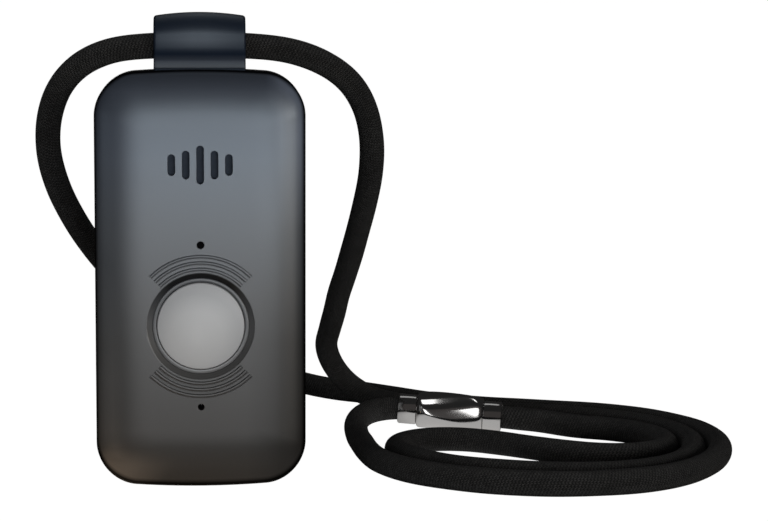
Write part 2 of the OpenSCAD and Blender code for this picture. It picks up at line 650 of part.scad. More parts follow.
// Heights follow the bail when the body grows, and the table stays where it is
function settle(p) = [p[0], p[1], table_z + (p[2] - Z) * (eye_z - table_z) / (route_eye_z - Z)];
function settled(list) = [for (p = list) settle(p)];
function unit(v) = v / norm(v);
plug_mouth = clasp_at;
plug_deep = clasp_at + clasp_u * (cord_grip - 0.1);
socket_mouth = clasp_at + clasp_u * clasp_l;
socket_deep = clasp_at + clasp_u * (clasp_l - cord_grip + 0.1);
socket_lead = socket_mouth + clasp_u * socket_lead_l;
left_leg_path = settled(left_leg_at);
outer_loop_path = settled(outer_loop_at);
tail_path = concat([for (p = tail_at) [p[0], p[1], p[2] - Z + table_z]], [plug_mouth, plug_deep]);
right_leg_path = settled(right_leg_at);
inner_loops_path = concat([for (p = inner_loops_at) [p[0], p[1], p[2] - Z + table_z]], [socket_lead, socket_mouth, socket_deep]);

// Directions at the ends are shared with the neighbouring stretch, so that the faces meet
function way(path, i, first, last) = unit(i == 0 ? first : i == len(path) - 1 ? last : path[i + 1] - path[i - 1]);
function ways(path, first, last) = [for (i = [0:len(path) - 1]) way(path, i, first, last)];
function sides(t, start) = [for (i = 0, n = unit(start - (start * t[0]) * t[0]); i < len(t);
    i = i + 1, n = i < len(t) ? unit(n - (n * t[i]) * t[i]) : n) n];
function ring_pts(p, t, n, r) = let (b = cross(t, n))
    [for (k = [0:cord_sides - 1]) let (a = 360 * (k + 0.5) / cord_sides) p + r * (cos(a) * n + sin(a) * b)];
function sweep_pts(path, t, n, r) = [for (i = [0:len(path) - 1]) for (q = ring_pts(path[i], t[i], n[i], r)) q];
function sweep_faces(m, n) = concat(
    [for (i = [0:m - 2]) for (k = [0:n - 1]) let (j = (k + 1) % n) [i * n + k, (i + 1) * n + j, i * n + j]],
    [for (i = [0:m - 2]) for (k = [0:n - 1]) let (j = (k + 1) % n) [i * n + k, (i + 1) * n + k, (i + 1) * n + j]],
    [for (k = [1:n - 2]) [0, k, k + 1]], [for (k = [1:n - 2]) [(m - 1) * n, (m - 1) * n + k + 1, (m - 1) * n + k]]);
module cord(path, first, last) {
    t = ways(path, first, last);
    n = sides(t, [0.1, 0.2, 1]);
    color([0.06, 0.06, 0.06]) polyhedron(points = sweep_pts(path, t, n, cord_r), faces = sweep_faces(len(path), cord_sides),
        convexity = 10);
}
left_join = outer_loop_path[1] - left_leg_path[len(left_leg_path) - 2];
tail_join = tail_path[1] - outer_loop_path[len(outer_loop_path) - 2];
right_join = inner_loops_path[1] - right_leg_path[len(right_leg_path) - 2];

// Least gap of the inner loops to themselves and to the outer loop, measured between points along the routes
function halfway(path) = [for (i = [0:len(path) - 2]) for (f = [0, 0.5]) path[i] * (1 - f) + path[i + 1] * f];
function self_gap(q, apart) = min([for (i = [0:len(q) - 1]) for (j = [i + apart:1:len(q) - 1]) norm(q[i] - q[j])]) - cord_d;
function pair_gap(q, w) = min([for (a = q) for (b = w) norm(a - b)]) - cord_d;
echo(inner_loops_gap = self_gap(halfway(inner_loops_path), 8));
echo(outer_loop_gap = self_gap(halfway(outer_loop_path), 8));
echo(loops_apart = pair_gap(halfway(inner_loops_path), halfway(outer_loop_path)));
echo(tail_apart = pair_gap(halfway(inner_loops_path), halfway(tail_path)));

module lanyard_left_leg() {
    cord(left_leg_path, [-1, 0, 0], left_join);
}
module lanyard_outer_loop() {
    cord(outer_loop_path, left_join, tail_join);
}
module lanyard_tail() {
    cord(tail_path, tail_join, clasp_u);
}
module lanyard_right_leg() {
    cord(right_leg_path, [1, 0, 0], right_join);
}
module lanyard_inner_loops() {
    cord(inner_loops_path, right_join, -clasp_u);
}

front_shell();
rear_shell();
shell_gasket();
shell_screws();
lanyard_bail();
bail_screws();
button_cap();
button_bezel();
button_seal();
switch_body();
switch_plunger();
main_board();
board_screws();
radio_module();
satellite_antenna();
radio_antenna();
speaker_frame();
speaker_cone();
speaker_gasket();
speaker_mesh();
microphone();
microphone_boot();
status_lamp();
light_pipe();
vibration_motor();
battery();
battery_pad();
charge_contacts();
contact_seals();
clasp_plug();
clasp_socket();
plug_magnet();
socket_magnet();
lanyard_left_leg();
lanyard_outer_loop();
lanyard_tail();
lanyard_right_leg();
lanyard_inner_loops();
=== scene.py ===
# %% [markdown]
# # A medical alert pendant on a knitted breakaway lanyard
# The real object is a hand-sized alarm pendant with a large call button. It hangs on a round knitted
# lanyard that a magnetic clasp holds together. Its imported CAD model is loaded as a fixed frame. Each piece
# that shows is then worked out with numpy as a grid of points, put into a mesh, given a procedural
# material, and tied to the CAD body that it moves with. Modelling by hand could look as good, but a formula
# can be read, changed and run again.

# %% load the frame
import math

import bmesh
import bpy
import numpy as np
from mathutils import Matrix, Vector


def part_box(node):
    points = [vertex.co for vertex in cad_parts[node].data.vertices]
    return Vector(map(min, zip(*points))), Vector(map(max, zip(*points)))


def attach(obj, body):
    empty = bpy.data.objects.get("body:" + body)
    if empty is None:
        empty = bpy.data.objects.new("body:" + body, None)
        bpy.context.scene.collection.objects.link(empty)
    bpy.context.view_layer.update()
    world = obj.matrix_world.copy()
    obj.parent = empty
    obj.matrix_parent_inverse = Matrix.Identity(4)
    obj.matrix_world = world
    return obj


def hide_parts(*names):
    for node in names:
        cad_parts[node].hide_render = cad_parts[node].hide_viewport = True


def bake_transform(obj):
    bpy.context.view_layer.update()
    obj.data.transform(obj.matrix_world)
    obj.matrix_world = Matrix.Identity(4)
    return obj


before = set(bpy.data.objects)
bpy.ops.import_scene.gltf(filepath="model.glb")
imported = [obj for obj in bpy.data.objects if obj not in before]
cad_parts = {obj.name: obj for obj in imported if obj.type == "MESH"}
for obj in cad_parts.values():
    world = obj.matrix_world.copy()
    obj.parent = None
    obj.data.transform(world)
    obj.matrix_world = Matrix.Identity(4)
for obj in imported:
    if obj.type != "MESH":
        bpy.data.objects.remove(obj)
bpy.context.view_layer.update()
MM = 0.001

# %% [markdown]
# ## Sizes
# Lengths are in millimetres until a mesh is made, because the sizes of a small object are easier to read
# that way. The outer sizes are measured from the boxes of the frame's nodes, so that the pieces follow the
# CAD model. A box doesn't give the small radii inside it, so those of the button, the collar and the dish
# repeat the sizes of the CAD source.

# %% sizes


def node_box(node):
    """Lowest and highest corner of a CAD node, in millimetres."""
    low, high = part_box(node)
    return np.array(low) / MM, np.array(high) / MM


shell_low, shell_high = node_box("front_shell")
cap_low, cap_high = node_box("button_cap")
bail_high = node_box("lanyard_bail")[1]
BODY_W = shell_high[0] - shell_low[0]
BODY_H = shell_high[2] - shell_low[2]
RIB_H = 0.25
FACE_Y = shell_low[1] + RIB_H
PART_Y = shell_high[1]
BACK_Y = node_box("rear_shell")[1][1]
BAIL_HALF = bail_high[0]
BAIL_TOP = bail_high[2]
WALL = 1.6
CORNER_R = 8
CROWN_H = 1.2
BUTTON_Z = (cap_low[2] + cap_high[2]) / 2
BUTTON_R = 8.7
COLLAR_R = 9.6
DISH_R = 10.6
print("body", round(BODY_W, 2), "x", round(BODY_H, 2), "mm, button at", round(BUTTON_Z, 2))

# %% [markdown]
# ## Mesh helpers
# Each new piece is a row of rings of points, as a pipe is. Blender's cylinders, curves and modifiers could
# make most of them, but a ring is easy to work out with numpy, and one function can join any row of rings
# with quads. The two ends of the row get flat caps, or are joined where it runs back into itself. A
# finished piece sits at the origin, and its place is in its mesh.

# %% mesh helpers


def tube_faces(rows, cols, loop=False):
    """Quads between rings of points, whose two ends are joined into a loop or closed by flat caps."""
    grid = np.arange(rows * cols).reshape(rows, cols)
    near = grid if loop else grid[:-1]
    far = np.roll(grid, -1, 0) if loop else grid[1:]
    quads = np.stack([near, np.roll(near, -1, 1), np.roll(far, -1, 1), far], -1).reshape(-1, 4).tolist()
    return quads if loop else quads + [grid[0][::-1].tolist(), grid[-1].tolist()]


def make_object(name, points, faces, scale=MM):
    """A linked mesh object from points in millimetres."""
    mesh = bpy.data.meshes.new(name)
    mesh.from_pydata((np.asarray(points, float) * scale).tolist(), [], faces)
    mesh.validate()
    obj = bpy.data.objects.new(name, mesh)
    bpy.context.scene.collection.objects.link(obj)
    return obj


def smooth(obj, angle=35):
    """Smooth shading that keeps edges sharper than the angle."""
    for polygon in obj.data.polygons:
        polygon.use_smooth = True
    obj.data.set_sharp_from_angle(angle=math.radians(angle))


def settle(obj, body, material, nodes=()):
    """Gives a finished piece its body and material, and hides the CAD nodes that it stands for."""
    obj.data.materials.clear()
    obj.data.materials.append(material)
    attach(obj, body)
    if nodes:
        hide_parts(*nodes)


def full_turn(sides):
    """Angles of evenly spaced points round a circle."""
    return np.arange(sides) * 2 * math.pi / sides


print("faces of a tube of 3 rings of 8 points:", len(tube_faces(3, 8)))

# %% [markdown]
# ## Camera
# The photograph shows the object from in front and slightly from above. A camera could be moved by hand
# until the picture looks right. Here its place, about half a metre away, its angles and its focal length
# were fitted to the photograph, and it is built from its three directions, so that a render can be laid
# over the photograph and compared.

# %% camera
IMAGE_W = 768
SENSOR_W = 36
CAMERA_AT = np.array([0.9, -540.0, 108.7])
CAMERA_YAW = math.radians(3.82)
CAMERA_PITCH = math.radians(6.697)
CAMERA_ROLL = math.radians(0.19)
FOCAL_PX = 2698


def make_camera():
    """A camera built from its forward, right and up directions."""
    ahead = np.array([math.sin(CAMERA_YAW) * math.cos(CAMERA_PITCH),
                      math.cos(CAMERA_YAW) * math.cos(CAMERA_PITCH), -math.sin(CAMERA_PITCH)])
    level = np.array([math.cos(CAMERA_YAW), -math.sin(CAMERA_YAW), 0.0])
    upright = np.cross(level, ahead)
    right = math.cos(CAMERA_ROLL) * level + math.sin(CAMERA_ROLL) * upright
    up = -math.sin(CAMERA_ROLL) * level + math.cos(CAMERA_ROLL) * upright
    data = bpy.data.cameras.new("photo_camera")
    data.sensor_width = SENSOR_W
    data.lens = SENSOR_W * FOCAL_PX / IMAGE_W
    data.clip_start = 0.01
    data.clip_end = 50
    camera = bpy.data.objects.new("photo_camera", data)
    turn = Matrix(np.stack([right, up, -ahead], 1).tolist())
    camera.rotation_euler = turn.to_euler()
    camera.location = CAMERA_AT * MM
    bpy.context.scene.collection.objects.link(camera)
    bpy.context.scene.camera = camera


make_camera()
bpy.context.scene.view_settings.view_transform = "Standard"
print("camera lens", round(SENSOR_W * FOCAL_PX / IMAGE_W, 1), "mm")

# %% [markdown]
# ## Finishes
# A finish in Blender is a graph of shader nodes. It could be drawn in the shader editor, but then it
# wouldn't be in this file, and plain code for it takes many similar lines. So a small class keeps the calls
# short. All patterns are worked out from object coordinates or, on the knitted lanyard, from its own UV
# map, so they hold still when a piece moves.

# %% material builder
GRAIN = 5200


class Graph:
    """One material with its shader, and short calls that add linked nodes."""

    def __init__(self, name, colour, rough, metal=0.0, specular=0.5):
        self.material = bpy.data.materials.new(name)
        self.material.use_nodes = True
        self.tree = self.material.node_tree
        self.shader = self.tree.nodes["Principled BSDF"]
        self.shader.inputs["Base Color"].default_value = (*colour, 1)
        self.shader.inputs["Roughness"].default_value = rough
        self.shader.inputs["Metallic"].default_value = metal
        self.shader.inputs["Specular IOR Level"].default_value = specular
        self.material.diffuse_color = (*colour, 1)

    def put(self, socket, value):
        """Links an output to an input, or sets the input to a plain value."""
        if isinstance(value, bpy.types.NodeSocket):
            self.tree.links.new(value, socket)
        else:
            socket.default_value = value

    def add(self, kind, inputs=(), **settings):
        """A node with its settings and inputs."""
        node = self.tree.nodes.new(kind)
        for key, value in settings.items():
            setattr(node, key, value)
        for key, value in dict(inputs).items():
            self.put(node.inputs[key], value)
        return node

    def math(self, operation, a, b=None):
        """One arithmetic step."""
        node = self.add("ShaderNodeMath", operation=operation)
        self.put(node.inputs[0], a)
        if b is not None:
            self.put(node.inputs[1], b)
        return node.outputs[0]

    def coords(self):
        """Object coordinates, in metres."""
        return self.add("ShaderNodeTexCoord").outputs["Object"]

    def place(self):
        """The X, Y and Z parts of the object coordinates."""
        return self.add("ShaderNodeSeparateXYZ", {0: self.coords()}).outputs

    def product(self, *values):
        """All the values multiplied together."""
        total = values[0]
        for value in values[1:]:
            total = self.math("MULTIPLY", total, value)
        return total

    def reach(self, a, b):
        """Length of a vector from its two parts."""
        return self.math("SQRT", self.math("ADD", self.product(a, a), self.product(b, b)))

    def noise(self, scale, detail=3.0):
        """Noise from 0 to 1 whose grains are about one over scale in size."""
        facts = {"Vector": self.coords(), "Scale": scale, "Detail": detail}
        return self.add("ShaderNodeTexNoise", facts).outputs["Fac"]

    def spread(self, value, low, high, start=0.3, end=0.7):
        """Maps a value between start and end to the span from low to high."""
        return self.add("ShaderNodeMapRange", {"Value": value, "From Min": start, "From Max": end,
                                               "To Min": low, "To Max": high}).outputs[0]

    def along(self, value, low, high, start, end):
        """Maps a length between start and end, in millimetres, to the span from low to high."""
        return self.spread(value, low, high, start * MM, end * MM)

    def ramp(self, value, stops):
        """Colours along a value, as (place, colour) pairs."""
        node = self.add("ShaderNodeValToRGB", {"Fac": value})
        ramp = node.color_ramp
        while len(ramp.elements) < len(stops):
            ramp.elements.new(0.5)
        for element, (place, colour) in zip(ramp.elements, stops):
            element.position = place
            element.color = (*colour, 1)
        return node.outputs["Color"]

    def bump(self, height, strength, distance):
        """A bump on the shader from a height between 0 and 1."""
        node = self.add("ShaderNodeBump", {"Height": height, "Strength": strength, "Distance": distance})
        self.put(self.shader.inputs["Normal"], node.outputs[0])

    def colour(self, value):
        """Sets or links the base colour."""
        self.put(self.shader.inputs["Base Color"], value)

    def rough(self, value):
        """Sets or links the roughness."""
        self.put(self.shader.inputs["Roughness"], value)

    def gloss(self, value):
        """Sets or links the strength of the reflection."""
        self.put(self.shader.inputs["Specular IOR Level"], value)

    def satin(self, low, high, depth, strength=0.35):
        """Even satin roughness between two values, with a fine mould grain."""
        self.rough(self.spread(self.noise(GRAIN), low, high))
        self.bump(self.noise(GRAIN, 2.0), strength, depth)


print("mould grains per metre:", GRAIN)

# %% [markdown]
# Moulded plastic is never quite even: its colour clouds a little, and the mould leaves a fine grain. Bare
# metal has smudges in its gloss. A picture of a surface could be laid on as a texture, but noise has no
# seam and no edge, and needs no UV map, so it suits every piece.

# %% plain finishes


def tinted(colour, share):
    """A colour made lighter or darker."""
    return tuple(min(1.0, c * share) for c in colour)


def moulded(name, colour, rough, grain=0.00002, specular=0.5):
    """Moulded plastic: faint colour clouds, uneven gloss and a fine spark-eroded grain."""
    g = Graph(name, colour, rough, specular=specular)
    g.colour(g.ramp(g.noise(140), [(0.3, tinted(colour, 0.93)), (0.7, tinted(colour, 1.06))]))
    g.rough(g.spread(g.noise(900), rough - 0.04, rough + 0.05))
    g.bump(g.noise(GRAIN, 2.0), 0.35, grain)
    return g.material


def metal(name, colour, rough):
    """Bare metal with smudges in its gloss and a faint grain."""
    g = Graph(name, colour, rough, metal=1.0)
    g.rough(g.spread(g.noise(700, 4.0), rough * 0.7, rough * 1.4))
    g.bump(g.noise(3000, 2.0), 0.12, 0.00001)
    return g.material


def polished(name, colour, rough):
    """Polished metal with faint smudges in its gloss."""
    g = Graph(name, colour, rough, metal=1.0)
    g.rough(g.spread(g.noise(300), rough * 0.9, rough * 1.15))
    return g.material


rear_mat = moulded("rear_plastic", (0.028, 0.029, 0.031), 0.48)
seal_mat = moulded("seal_rubber", (0.015, 0.015, 0.016), 0.75)
clasp_mat = polished("clasp_steel", (0.66, 0.65, 0.64), 0.11)
print("plain finishes:", rear_mat.name, seal_mat.name, clasp_mat.name)

# %% [markdown]
# The call button is of light grey plastic, lightest low on its dome, and stands in a darker collar. Lamps
# alone could shade them, but the same lamps also have to suit the face round them. So a part of the shade
# is painted: by the distance from a point low on the dome, and by the height on the collar.

# %% button and collar finish


def button_plastic():
    """Light grey plastic with painted shade: lightest low on the dome and a little darker towards its rim."""
    g = Graph("button_plastic", (0.5, 0.505, 0.51), 0.42, specular=0.7)
    place = g.place()
    side = g.math("ADD", place["X"], 0.8 * MM)
    up = g.math("SUBTRACT", place["Z"], (BUTTON_Z - 2.2) * MM)
    share = g.math("DIVIDE", g.reach(side, up), BUTTON_R * MM)
    # Painted shade: the colour is lightest round a point low on the dome and darker towards the rim.
    g.colour(g.ramp(share, [(0.1, (0.52, 0.525, 0.53)), (0.6, (0.46, 0.465, 0.47)),
                            (1.0, (0.36, 0.365, 0.375))]))
    g.satin(0.41, 0.43, 0.00001)
    return g.material


def bezel_plastic():
    """Grey plastic of the collar, with painted light on its lower side."""
    g = Graph("bezel_plastic", (0.085, 0.088, 0.094), 0.35)
    share = g.along(g.place()["Z"], 0.0, 1.0, BUTTON_Z - COLLAR_R, BUTTON_Z + COLLAR_R)
    # Painted light and shade: the collar is lighter low down and darker at the top.
    g.colour(g.ramp(share, [(0.0, (0.15, 0.15, 0.152)), (0.5, (0.088, 0.091, 0.096)),
                            (1.0, (0.066, 0.07, 0.077))]))
    g.satin(0.34, 0.37, 0.00002)
    return g.material


button_mat = button_plastic()
bezel_mat = bezel_plastic()
print("finishes:", button_mat.name, bezel_mat.name)

# %% [markdown]
# The bail, the tab on top, is of dark blue satin plastic. A ramp over the height paints shade on the seam
# at its foot and light on the flare above it, and a broad highlight lies in its middle. The gloss is turned
# down at both ends and near the foot, because that shapes a highlight more easily than moving a lamp does.

# %% bail finish


def bail_plastic():
    """Dark blue satin plastic: a painted shadow at the seam, painted light on the flare, gloss fading at ends
    and foot.
    """
    g = Graph("bail_plastic", (0.011, 0.016, 0.027), 0.47, specular=0.4)
    place = g.place()
    foot = g.along(place["Z"], 0.0, 1.0, BODY_H - 0.1, BODY_H + 2.9)
    # Painted shade on the seam where the bail meets the body, and painted light on the flare above it.
    g.colour(g.ramp(foot, [(0.08, (0.02, 0.027, 0.04)), (0.16, (0.16, 0.182, 0.21)),
                           (0.58, (0.046, 0.054, 0.07)), (1.0, (0.01, 0.0155, 0.027))]))
    ends = g.along(g.math("ABSOLUTE", place["X"]), 0.62, 0.32, 1.5, BAIL_HALF)
    g.gloss(g.product(ends, g.along(place["Z"], 0.15, 1.0, BODY_H + 3.2, BODY_H + 5.8)))
    g.shader.inputs["Specular Tint"].default_value = (0.8, 0.9, 1.0, 1)
    g.satin(0.46, 0.48, 0.000002)
    return g.material


bail_mat = bail_plastic()
print("finish:", bail_mat.name, "with", len(bail_mat.node_tree.nodes), "nodes")

# %% [markdown]
# The front shell is a satin grey that reads blue and light in its upper part and warm and dark near the
# foot. Much of this is the mirror image of a studio that isn't known. So a wide light gives the main sheen,
# and painted light and shade follow the shape: the colour and the tint of the reflection go from warm and
# dark at the foot to blue and light above, the tone fades at the top, falls to a dark rim, and is lighter on
# two stretches of the rounded edge. The dish round the button has its own painted shade.

# %% front finish
# Pairs of a share of the height and a factor of painted shade: darker near the top and a little above the
# foot.
FRONT_HEIGHT_SHADE = ((0.06, 1.0), (0.1, 0.8), (0.145, 1.0), (0.79, 1.0), (0.87, 0.88), (0.91, 0.7), (0.95, 0.72),
              (0.99, 0.48))


def dish_shade(g, place):
    """Tone factor and shade of the button's dish: its upper side is in shade, the rest a little lighter."""
    up = g.math("SUBTRACT", place["Z"], BUTTON_Z * MM)
    reach = g.reach(place["X"], up)
    inside = g.along(reach, 1.0, 0.0, DISH_R - 0.1, DISH_R + 0.15)
    toward = g.spread(g.math("DIVIDE", up, reach), 0.0, 1.0, 0.1, 0.8)
    shade = g.product(inside, toward)
    change = g.math("SUBTRACT", g.product(inside, 0.8), g.product(shade, 1.6))
    return g.math("ADD", 1.0, change), shade


def edge_light_and_shade(g, place):
    """Painted light and shade of the rounded edge: lighter at upper right and lower left, darker on the
    right-hand rim.
    """
    right = g.product(g.along(place["X"], 0.0, 1.0, 13, 16), g.along(place["Z"], 0.0, 1.0, 52, 70))
    near = g.along(place["Y"], 0.0, 0.3, FACE_Y + 0.2, FACE_Y + 0.5)
    far = g.along(place["Y"], 0.0, 0.7, FACE_Y + 1.2, FACE_Y + 2.1)
    left = g.product(g.along(place["X"], 1.0, 0.0, -16.5, -14), g.along(place["Z"], 1.0, 0.0, 22, 45),
                     g.along(place["Z"], 0.0, 1.0, 6, 9))
    slope = g.along(place["Y"], 0.0, 0.7, FACE_Y + 0.2, FACE_Y + 0.9)
    painted_lift = g.math("ADD", g.product(right, g.math("ADD", near, far)), g.product(left, slope))
    # Painted shade: a dark line along the right-hand rim.
    line = g.along(place["X"], 1.0, 0.35, 19.9, 20.6)
    return g.product(g.math("ADD", 1.0, painted_lift), line)


def front_plastic():
    """Satin plastic with painted light and shade that fall from top to foot and to a dark rim, and a fine
    mould grain.
    """
    g = Graph("front_plastic", (0.1, 0.105, 0.115), 0.38, specular=0.8)
    place = g.place()
    share = g.along(place["Z"], 0.0, 1.0, 0.0, BODY_H)
    depth = g.math("ADD", place["Y"], g.spread(share, 0.8 * MM, 0.0, 0.02, 0.12))
    # Painted shade: the side wall behind the rounded edge is darkened in colour and gloss to a dark rim.
    rim = g.along(depth, 1.0, 0.05, FACE_Y + 2.4, FACE_Y + 3.1)
    # Painted shade that darkens the face towards its top edge and a little above the foot.
    height_shade = g.ramp(share, [(at, (v, v, v)) for at, v in FRONT_HEIGHT_SHADE])
    # Painted shade on the lower right, in colour and gloss.
    lower_right_shade = g.product(g.along(place["X"], 0.0, 1.0, 9, 16), g.along(place["Z"], 0.3, 0.0, 30, 55))
    edge = g.product(rim, height_shade, g.math("SUBTRACT", 1.0, lower_right_shade), edge_light_and_shade(g, place))
    # Painted light and shade: the colour goes from warm and dark at the foot to blue and light at the top.
    tone = g.ramp(share, [(0.1, (0.030, 0.028, 0.026)), (0.35, (0.042, 0.042, 0.042)),
                          (0.62, (0.068, 0.074, 0.084)), (0.85, (0.072, 0.084, 0.110))])
    rise, shade = dish_shade(g, place)
    mixed = g.add("ShaderNodeMix", {"Factor": 1.0}, data_type="RGBA", blend_type="MULTIPLY")
    g.put(mixed.inputs[6], tone)
    g.put(mixed.inputs[7], g.product(g.spread(g.noise(120), 0.99, 1.01), rise, edge))
    g.colour(mixed.outputs[2])
    shine = g.spread(share, 0.5, 0.82, 0.15, 0.7)
    g.gloss(g.product(shine, edge, g.spread(shade, 1.0, 0.1, 0.0, 1.0)))
    # Painted reflection colour: the reflection is tinted warm low down and blue at the top.
    tint = g.ramp(share, [(0.15, (1.0, 0.98, 0.96)), (0.45, (0.98, 0.98, 0.98)), (0.8, (0.81, 0.91, 1.0))])
    g.put(g.shader.inputs["Specular Tint"], tint)
    g.satin(0.36, 0.38, 0.00002, 0.3)
    return g.material


front_mat = front_plastic()
print("finish:", front_mat.name, "with", len(front_mat.node_tree.nodes), "nodes")

# %% [markdown]
# The lanyard is a fine knitted tube. Modelling each stitch would take millions of faces, so the tube has a
# UV map that counts columns of stitches round it and stitches along it. The fractional parts of the two
# counts place one V of two slanting legs in each cell, which sets the bump and a painted shade: the yarn is
# darker between the legs and lighter on their tops.

# %% knit finish
STITCH_SHIFT = 1 / 3


def knit():
    """Black yarn in V stitches with painted shade between the legs, from a UV map that counts columns and
    stitches.
    """
    g = Graph("lanyard_knit", (0.008, 0.008, 0.008), 0.75, specular=0.15)
    uv = g.add("ShaderNodeUVMap", uv_map="stitches").outputs[0]
    parts = g.add("ShaderNodeSeparateXYZ", {0: uv}).outputs
    column = g.math("FLOOR", parts["X"])
    across = g.math("ABSOLUTE", g.math("SUBTRACT", g.math("FRACT", parts["X"]), 0.5))
    climb = g.math("ADD", parts["Y"], g.math("MULTIPLY", column, STITCH_SHIFT))
    place = g.math("ADD", climb, across)
    off_leg = g.product(g.math("ABSOLUTE", g.math("SUBTRACT", g.math("FRACT", place), 0.5)), 2.0)
    off_mid = g.product(g.math("ABSOLUTE", g.math("SUBTRACT", across, 0.25)), 4.0)
    leg = g.math("SUBTRACT", 1.0, g.product(off_leg, off_leg))
    side = g.math("SUBTRACT", 1.0, g.product(off_mid, off_mid, 0.8))
    cell = g.add("ShaderNodeCombineXYZ", {0: column, 1: g.math("FLOOR", place)}).outputs[0]
    chance = g.add("ShaderNodeTexWhiteNoise", {"Vector": cell}).outputs["Value"]
    fibre = g.spread(g.noise(9000, 2.0), 0.75, 1.2)
    wear = g.product(g.spread(chance, 0.82, 1.15, 0.0, 1.0), g.spread(g.noise(110, 2.0), 0.85, 1.12))
    lit = g.product(leg, side, fibre, wear)
    # Painted shade: the yarn is darker in the grooves between the legs and lighter on their tops.
    g.colour(g.ramp(lit, [(0.0, (0.0008, 0.0008, 0.0008)), (0.45, (0.008, 0.0078, 0.0076)),
                          (1.0, (0.047, 0.0455, 0.044))]))
    g.rough(g.spread(g.noise(2500), 0.6, 0.8))
    g.bump(lit, 0.9, 0.00022)
    g.shader.inputs["Sheen Weight"].default_value = 0.03
    g.shader.inputs["Sheen Roughness"].default_value = 0.4
    return g.material


knit_mat = knit()
print("finish:", knit_mat.name, "with", len(knit_mat.node_tree.nodes), "nodes")

# %% [markdown]
# ## Lanyard
# The lanyard is one limp cord. It leaves the bail on both sides, falls behind the body and lies in loops on
# the table. A physics run could drop it, but it wouldn't land as in the photograph. So the route repeats
# the points of the CAD source, stretch by stretch. The clasp has its own place and two angles.

# %% lanyard route
CORD_R = 2.5
# Height of the middle of a cord that lies on the table.
Z = CORD_R + 0.1
LEFT_LEG = [(0, 2.6, 88.3), (-9.4, 2.6, 88.3), (-18.4, 4.1, 87.1), (-24.1, 6.7, 84.3), (-28.3, 9.8, 79.7),
            (-30.6, 12.7, 73.7), (-31.1, 15.7, 66.6), (-29.6, 19.3, 59.2), (-26.6, 24.3, 51.8),
            (-23.2, 30.2, 45.4), (-19.6, 36.8, 39.8), (-15.8, 43.9, 34.8), (-11.9, 51.2, 30.4),
            (-7.9, 58.7, 26.2), (-3.8, 66.1, 22.1), (0.6, 73.5, 18.2), (5.2, 80.8, 14.5), (9.8, 88.3, 11.1),
            (15.2, 95.1, 7.6), (20.9, 98.5, 5.1), (26.8, 99.1, 3.4), (32.6, 97.4, Z), (38.2, 93.3, Z)]
OUTER_LOOP = [(38.2, 93.3, Z), (44.6, 86.5, Z), (51.1, 79.7, Z), (58.6, 74, Z), (67, 69.7, Z),
              (75.8, 66.5, Z), (84.7, 63.3, Z), (93.1, 59, Z), (99.8, 53.3, Z), (105, 46.1, Z),
              (108.6, 37.8, Z), (110.2, 28.9, Z), (110, 19.5, Z), (107.9, 10.3, Z), (104.3, 1.6, Z),
              (99.2, -6.3, Z), (93.2, -12.2, Z), (86.1, -16, Z), (77.8, -18, Z), (68.9, -18, Z),
              (60.2, -16, Z)]
TAIL = [(60.2, -16, Z), (52.2, -12, Z), (45.1, -6.3, Z), (39.9, 0.5, Z), (36.6, 8.4, Z), (35, 17.6, Z),
        (34.3, 27, Z), (33.6, 36.2, 3.1), (33.9, 43, 4.6), (36.3, 47.3, 5.7), (40, 50.1, 6.1)]
RIGHT_LEG = [(0, 2.6, 88.3), (9.3, 2.7, 88.3), (18.5, 4, 87.2), (25.1, 6.8, 84.7), (30.5, 10.5, 80.7),
             (33.8, 14.3, 75.4), (35.5, 18.4, 68.7), (35.7, 23.5, 61.1), (34.8, 29.4, 53.9), (33.7, 36, 47.4),
             (32.7, 43.2, 41.5), (31.7, 50.7, 36), (30.7, 58.4, 30.8), (30.1, 66.1, 25.5), (29.4, 73.9, 20.5),
             (29, 81.2, 14.9), (30.7, 84, 10.6), (33.9, 84.8, 6.5), (38.2, 83.5, 3.7), (42.7, 80.3, Z)]
INNER_LOOPS = [(42.7, 80.3, Z), (49, 73.5, Z), (55.7, 68.4, Z), (64.2, 64.5, Z), (73, 61.3, Z),
               (81.7, 57.9, Z), (89.9, 53.4, Z), (96.4, 47.7, Z), (101.1, 40.9, Z), (103.9, 33, Z),
               (104.8, 24.4, Z), (103.6, 15.6, Z), (100.6, 6.7, Z), (96.3, -0.4, Z), (91, -5.2, Z),
               (84.4, -8.1, Z), (76.4, -8.9, Z), (67.3, -7.5, Z), (58.5, -4.4, Z), (51.5, 0, Z),
               (46.1, 5.8, Z), (42.4, 13.3, Z), (41, 19.5, Z), (41.9, 24.9, Z), (45.1, 29.2, Z),
               (49.9, 31.5, Z), (55.7, 31.1, Z), (62.8, 26.9, Z), (69.8, 20.7, Z), (77.1, 14.8, Z),
               (82.8, 11.9, Z), (88.2, 11.1, Z), (93.4, 12.8, Z), (97.4, 17, Z), (99.2, 23.5, Z),
               (98.5, 30.3, Z), (95.6, 36.4, Z), (90.1, 41.5, Z), (82.6, 45, 2.7), (73.6, 47.1, 3.8)]
CLASP_AT = np.array([43.7, 50.9, 6.1])
CLASP_DIP = math.radians(94.04)
CLASP_TURN = math.radians(-9)
RING_L = 4.15
BARREL_L = 14.7
CLASP_L = 2 * RING_L + BARREL_L
CORD_GRIP = 3.3


def clasp_axes():
    """Columns are the clasp's own X, Y and Z directions: a turn about Y, then about Z."""
    c, s = math.cos(CLASP_DIP), math.sin(CLASP_DIP)
    dip = np.array([[c, 0, s], [0, 1, 0], [-s, 0, c]])
    c, s = math.cos(CLASP_TURN), math.sin(CLASP_TURN)
    turn = np.array([[c, -s, 0], [s, c, 0], [0, 0, 1]])
    return turn @ dip


CLASP_AXES = clasp_axes()
CLASP_U = CLASP_AXES[:, 2]
print("route points:", sum(len(p) for p in (LEFT_LEG, OUTER_LOOP, TAIL, RIGHT_LEG, INNER_LOOPS)))

